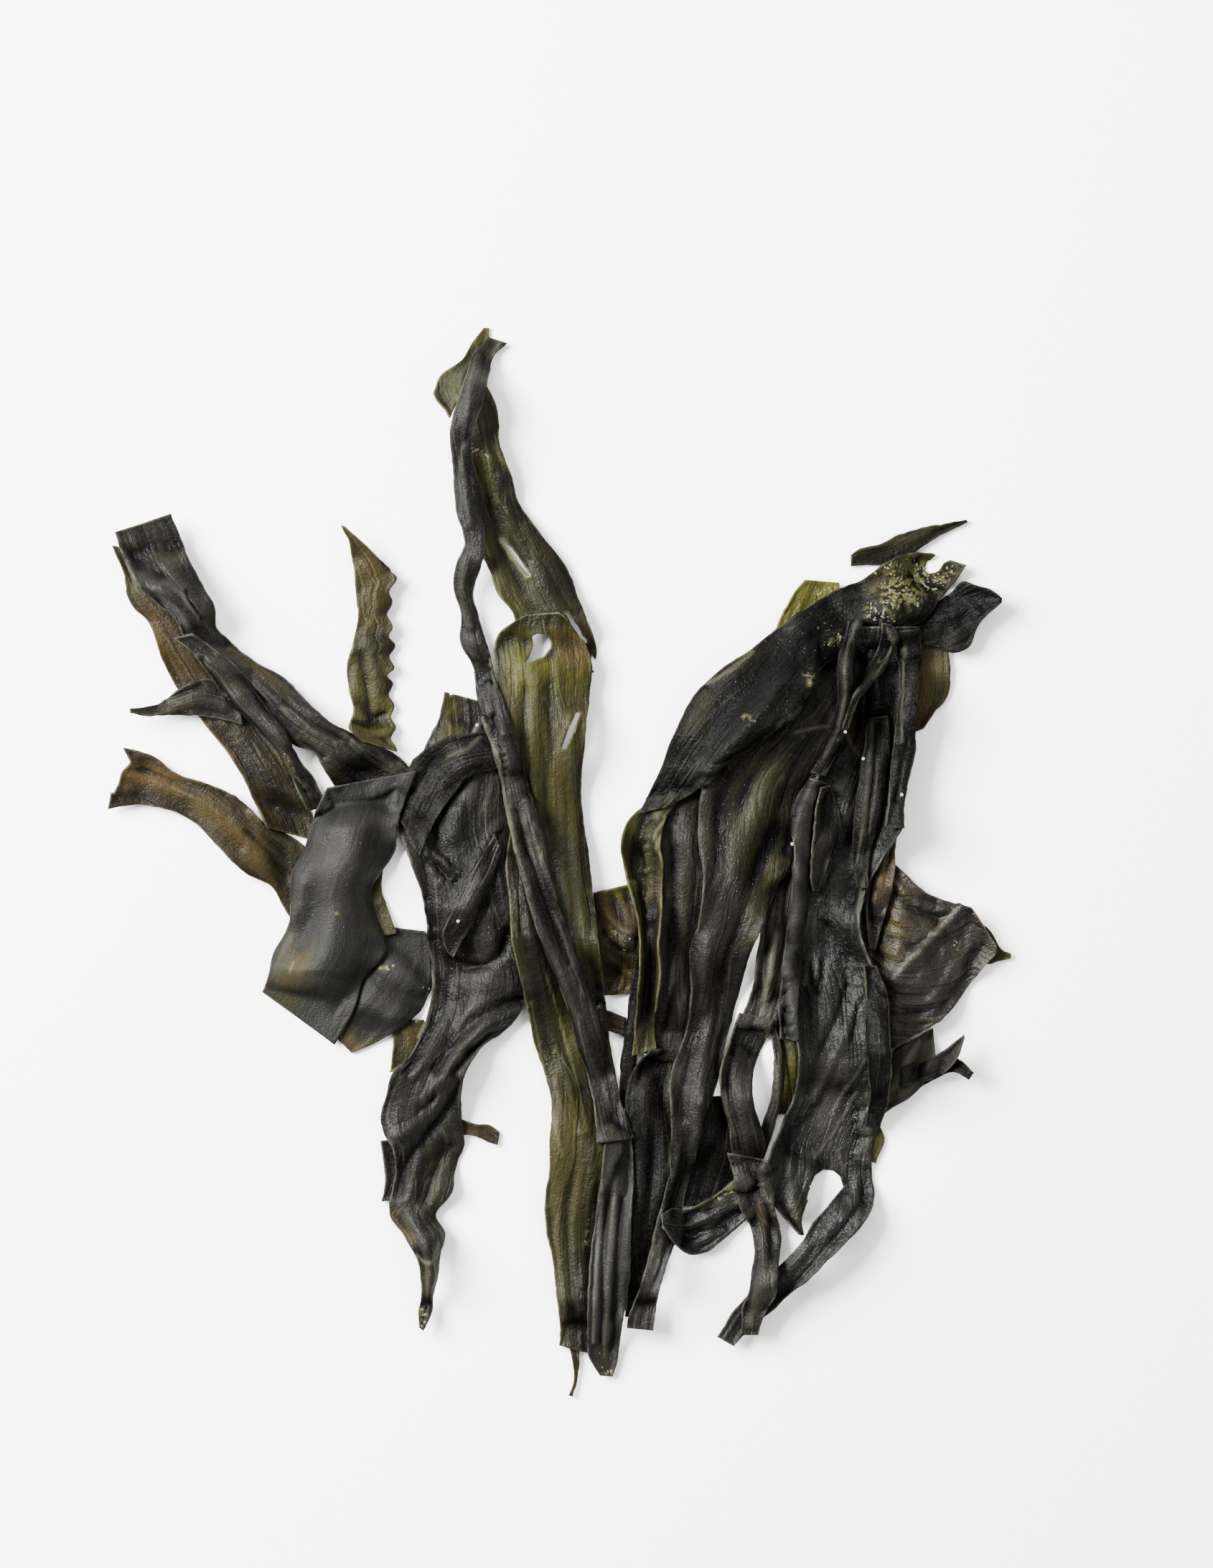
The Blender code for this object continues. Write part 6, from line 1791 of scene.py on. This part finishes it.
@dataclass
class ScatteredFlakes:
    """Small flakes scattered over the fronds' upper faces, where strokes of one mark lie."""

    name: str
    mark: Mark
    colour: str
    flake_radius: float
    flatness: float
    per_square_metre: float
    seed: int
    width_share: float = 0.7
    least_size: float = 0.4
    greatest_size: float = 1.3
    from_edge: float = 0.8
    roughness: float = 0.8

    def build(self, laying: Laying) -> None:
        """Scatter the flakes and keep them as one plain mesh.

        Args:
            laying: The fronds as they lie.
        """
        tree, names = self._tree()
        values = {
            "Flakes per square metre": self.per_square_metre, "Flake radius": self.flake_radius,
            "Flatness": self.flatness, "Seed": self.seed,
            "Material": plain_material(self.name + "_grains", self.colour, self.roughness),
        }
        keep_result(self._bed(laying), self.name, tree, names, values)

    def _bed(self, laying: Laying) -> bpy.types.Object:
        """Return the open upper faces under the strokes, with their density of flakes.

        Args:
            laying: The fronds as they lie.

        Returns:
            The object that the flakes are scattered on.
        """
        points, quads, density = [], [], []
        count = 0
        for owner, sheet in enumerate(laying.sheets.values()):
            share = np.clip(sheet.stroke_sum(self.mark), 0.0, 1.0)
            if not share.any():
                continue
            seen = laying.field.owner[laying.field.cells(sheet.points)] == owner
            share = share * seen * (sheet.edge_distance > self.from_edge)
            used = sheet.quads[share[sheet.quads].max(axis=1) > 0.0]
            points.append(np.column_stack((sheet.points, sheet.height + WALL)) * MM)
            quads.append(used + count)
            density.append(share)
            count += len(sheet.points)
        mesh = bpy.data.meshes.new(self.name + "_bed")
        mesh.from_pydata(np.concatenate(points).tolist(), [], np.concatenate(quads).tolist())
        values = np.concatenate(density)
        mesh.attributes.new("density", "FLOAT", "POINT").data.foreach_set("value", values)
        return add_object(mesh.name, mesh)

    def _tree(self) -> tuple[bpy.types.NodeTree, dict[str, str]]:
        """Return the scattering tree, and the identifier of each of its inputs.

        Returns:
            The tree and the identifiers.
        """
        tree, names = new_tree(
            self.name + "_tree", ("Flakes per square metre", "Flake radius", "Flatness"))
        given = add_node(tree, "NodeGroupInput").outputs
        spread = add_node(tree, "GeometryNodeInputNamedAttribute", {"Name": "density"}, data_type="FLOAT")
        density = add_node(tree, "ShaderNodeMath", {0: spread, 1: given["Flakes per square metre"]},
                           operation="MULTIPLY")
        points = add_node(tree, "GeometryNodeDistributePointsOnFaces", {
            "Mesh": given["Geometry"], "Density": density, "Seed": given["Seed"]})
        ball = add_node(tree, "GeometryNodeMeshIcoSphere", {
            "Radius": given["Flake radius"], "Subdivisions": 1})
        scale = add_node(tree, "ShaderNodeCombineXYZ", {
            "X": 1.0, "Y": self.width_share, "Z": given["Flatness"]})
        flake = add_node(tree, "GeometryNodeTransform", {"Geometry": ball, "Scale": scale})
        size = add_node(tree, "FunctionNodeRandomValue", {
            "Min": self.least_size, "Max": self.greatest_size, "Seed": given["Seed"]}, data_type="FLOAT")
        placed = add_node(tree, "GeometryNodeInstanceOnPoints", {
            "Points": points, "Instance": flake, "Rotation": open_socket(points.outputs, "Rotation"),
            "Scale": size})
        finish_tree(tree, placed, given["Material"])
        return tree, names


@dataclass
class WormTubes:
    """Small white tubes, coiled on the fronds, that worms built while the kelp was alive."""

    places: tuple[Point, ...] = (
        (118.5, 54.0), (126.5, 43.0), (142.0, 28.0), (96.5, 7.5), (-34.5, 57.0), (-42.0, -24.5),
    )
    start_radius: float = 0.0003
    coil_radius: float = 0.00055
    coil_height: float = 0.0001
    coil_points: int = 14
    tube_radius: float = 0.00022
    tube_sides: int = 6
    turns: float = 1.7
    widest_turn: float = 6.28
    colour: str = "#8f8b7c"
    roughness: float = 0.75

    def build(self, laying: Laying) -> None:
        """Set a coil on top of the clump at each place.

        Args:
            laying: The fronds as they lie.
        """
        points = np.array(self.places) - LAYOUT_CENTRE
        height = laying.field.top[laying.field.cells(points)]
        mesh = bpy.data.meshes.new("worm_tubes")
        mesh.from_pydata((np.column_stack((points, height)) * MM).tolist(), [], [])
        bed = add_object("worm_tube_places", mesh)
        tree, names = self._tree()
        values = {
            "Coil radius": self.coil_radius, "Tube radius": self.tube_radius, "Turns": self.turns,
            "Seed": SEED, "Material": plain_material("worm_tube_chalk", self.colour, self.roughness),
        }
        keep_result(bed, "worm_tubes", tree, names, values)

    def _tree(self) -> tuple[bpy.types.NodeTree, dict[str, str]]:
        """Return the tree that sets a coil at each point, and its inputs' identifiers.

        Returns:
            The tree and the identifiers.
        """
        tree, names = new_tree("worm_tubes_tree", ("Coil radius", "Tube radius", "Turns"))
        given = add_node(tree, "NodeGroupInput").outputs
        coil = add_node(tree, "GeometryNodeCurveSpiral", {
            "Resolution": self.coil_points, "Rotations": given["Turns"],
            "Start Radius": self.start_radius, "End Radius": given["Coil radius"],
            "Height": self.coil_height})
        ring = add_node(tree, "GeometryNodeCurvePrimitiveCircle", {
            "Resolution": self.tube_sides, "Radius": given["Tube radius"]}, mode="RADIUS")
        tube = add_node(tree, "GeometryNodeCurveToMesh", {
            "Curve": coil, "Profile Curve": ring, "Fill Caps": True})
        turn = add_node(tree, "FunctionNodeRandomValue", {
            "Min": (0.0, 0.0, 0.0), "Max": (0.0, 0.0, self.widest_turn), "Seed": given["Seed"]},
            data_type="FLOAT_VECTOR")
        placed = add_node(tree, "GeometryNodeInstanceOnPoints", {
            "Points": given["Geometry"], "Instance": tube, "Rotation": turn})
        finish_tree(tree, placed, given["Material"])
        return tree, names


@dataclass(frozen=True)
class Softbox:
    """A soft square light that faces the clump, in metres and watts."""

    name: str
    place: tuple[float, float, float]
    size: float
    power: float


@dataclass
class Studio:
    """A pale floor, soft light and a camera that looks straight down."""

    view_centre: Point = (0.0195, 0.03265)
    view_height: float = 0.6552
    camera_height: float = 2.0
    sensor: float = 36.0
    floor_half: float = 9.0
    floor_colour: str = "#fafaf9"
    floor_roughness: float = 0.9
    world_colour: str = "#f6f6f6"
    world_strength: float = 0.34
    lights: tuple[Softbox, ...] = (
        Softbox("key_softbox", (-1.42, 0.72, 1.18), 1.15, 442.0),
        Softbox("fill_softbox", (1.3, -0.7, 1.5), 1.6, 46.0),
        Softbox("top_softbox", (0.1, 1.1, 1.5), 1.6, 38.0),
    )

    def build(self) -> None:
        """Make the floor, the lights, the surroundings and the camera."""
        self._floor()
        for softbox in self.lights:
            self._light(softbox)
        world = bpy.data.worlds.new("pale_surroundings")
        world.use_nodes = True
        back = world.node_tree.nodes["Background"]
        back.inputs["Color"].default_value = linear(self.world_colour)
        back.inputs["Strength"].default_value = self.world_strength
        bpy.context.scene.world = world
        self._camera()

    def _floor(self) -> None:
        """Make the pale floor."""
        half = self.floor_half
        mesh = bpy.data.meshes.new("floor")
        mesh.from_pydata([(-half, -half, 0), (half, -half, 0), (half, half, 0), (-half, half, 0)],
                         [], [(0, 1, 2, 3)])
        floor = add_object("floor", mesh)
        mesh.materials.append(plain_material("pale_paper", self.floor_colour, self.floor_roughness))

    def _light(self, softbox: Softbox) -> None:
        """Add one soft light.

        Args:
            softbox: The light's place, size and power.
        """
        lamp = bpy.data.lights.new(softbox.name, "AREA")
        lamp.energy = softbox.power
        lamp.size = softbox.size
        light = add_object(softbox.name, lamp)
        light.location = softbox.place
        light.rotation_euler = (-Vector(softbox.place)).to_track_quat("-Z", "Y").to_euler()

    def _camera(self) -> None:
        """Add the camera, straight above the middle of the frame, with +Y at the top."""
        lens = bpy.data.cameras.new("camera")
        lens.sensor_fit = "VERTICAL"
        lens.sensor_height = self.sensor
        lens.lens = self.sensor * self.camera_height / self.view_height
        camera = add_object("camera", lens)
        camera.location = (*self.view_centre, self.camera_height)
        bpy.context.scene.camera = camera


def main() -> None:
    """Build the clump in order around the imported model."""
    logging.basicConfig(level=logging.INFO, format="%(message)s")
    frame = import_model()
    LOG.info("frame: %d nodes", len(frame["nodes"]))
    Studio().build()
    materials = {look: FrondMaterial(finish).material for look, finish in FINISHES.items()}
    laying = Laying(HeightField(), materials, np.random.default_rng(SEED), {})
    for group in (UnderFronds(), LeftFronds(), RightFlaps(), InnerFronds(), MiddleFronds(), PalmFronds()):
        group.build(laying)
    ScatteredFlakes("crust_flakes", Mark.CRUST, "#3e3c26", flake_radius=0.0007, flatness=0.3,
                    per_square_metre=500000.0, seed=5).build(laying)
    ScatteredFlakes("salt_specks", Mark.SPECK, "#4c4a42", flake_radius=0.00022, flatness=0.6,
                    per_square_metre=160000.0, seed=6).build(laying)
    WormTubes().build(laying)


if __name__ == "__main__":
    main()
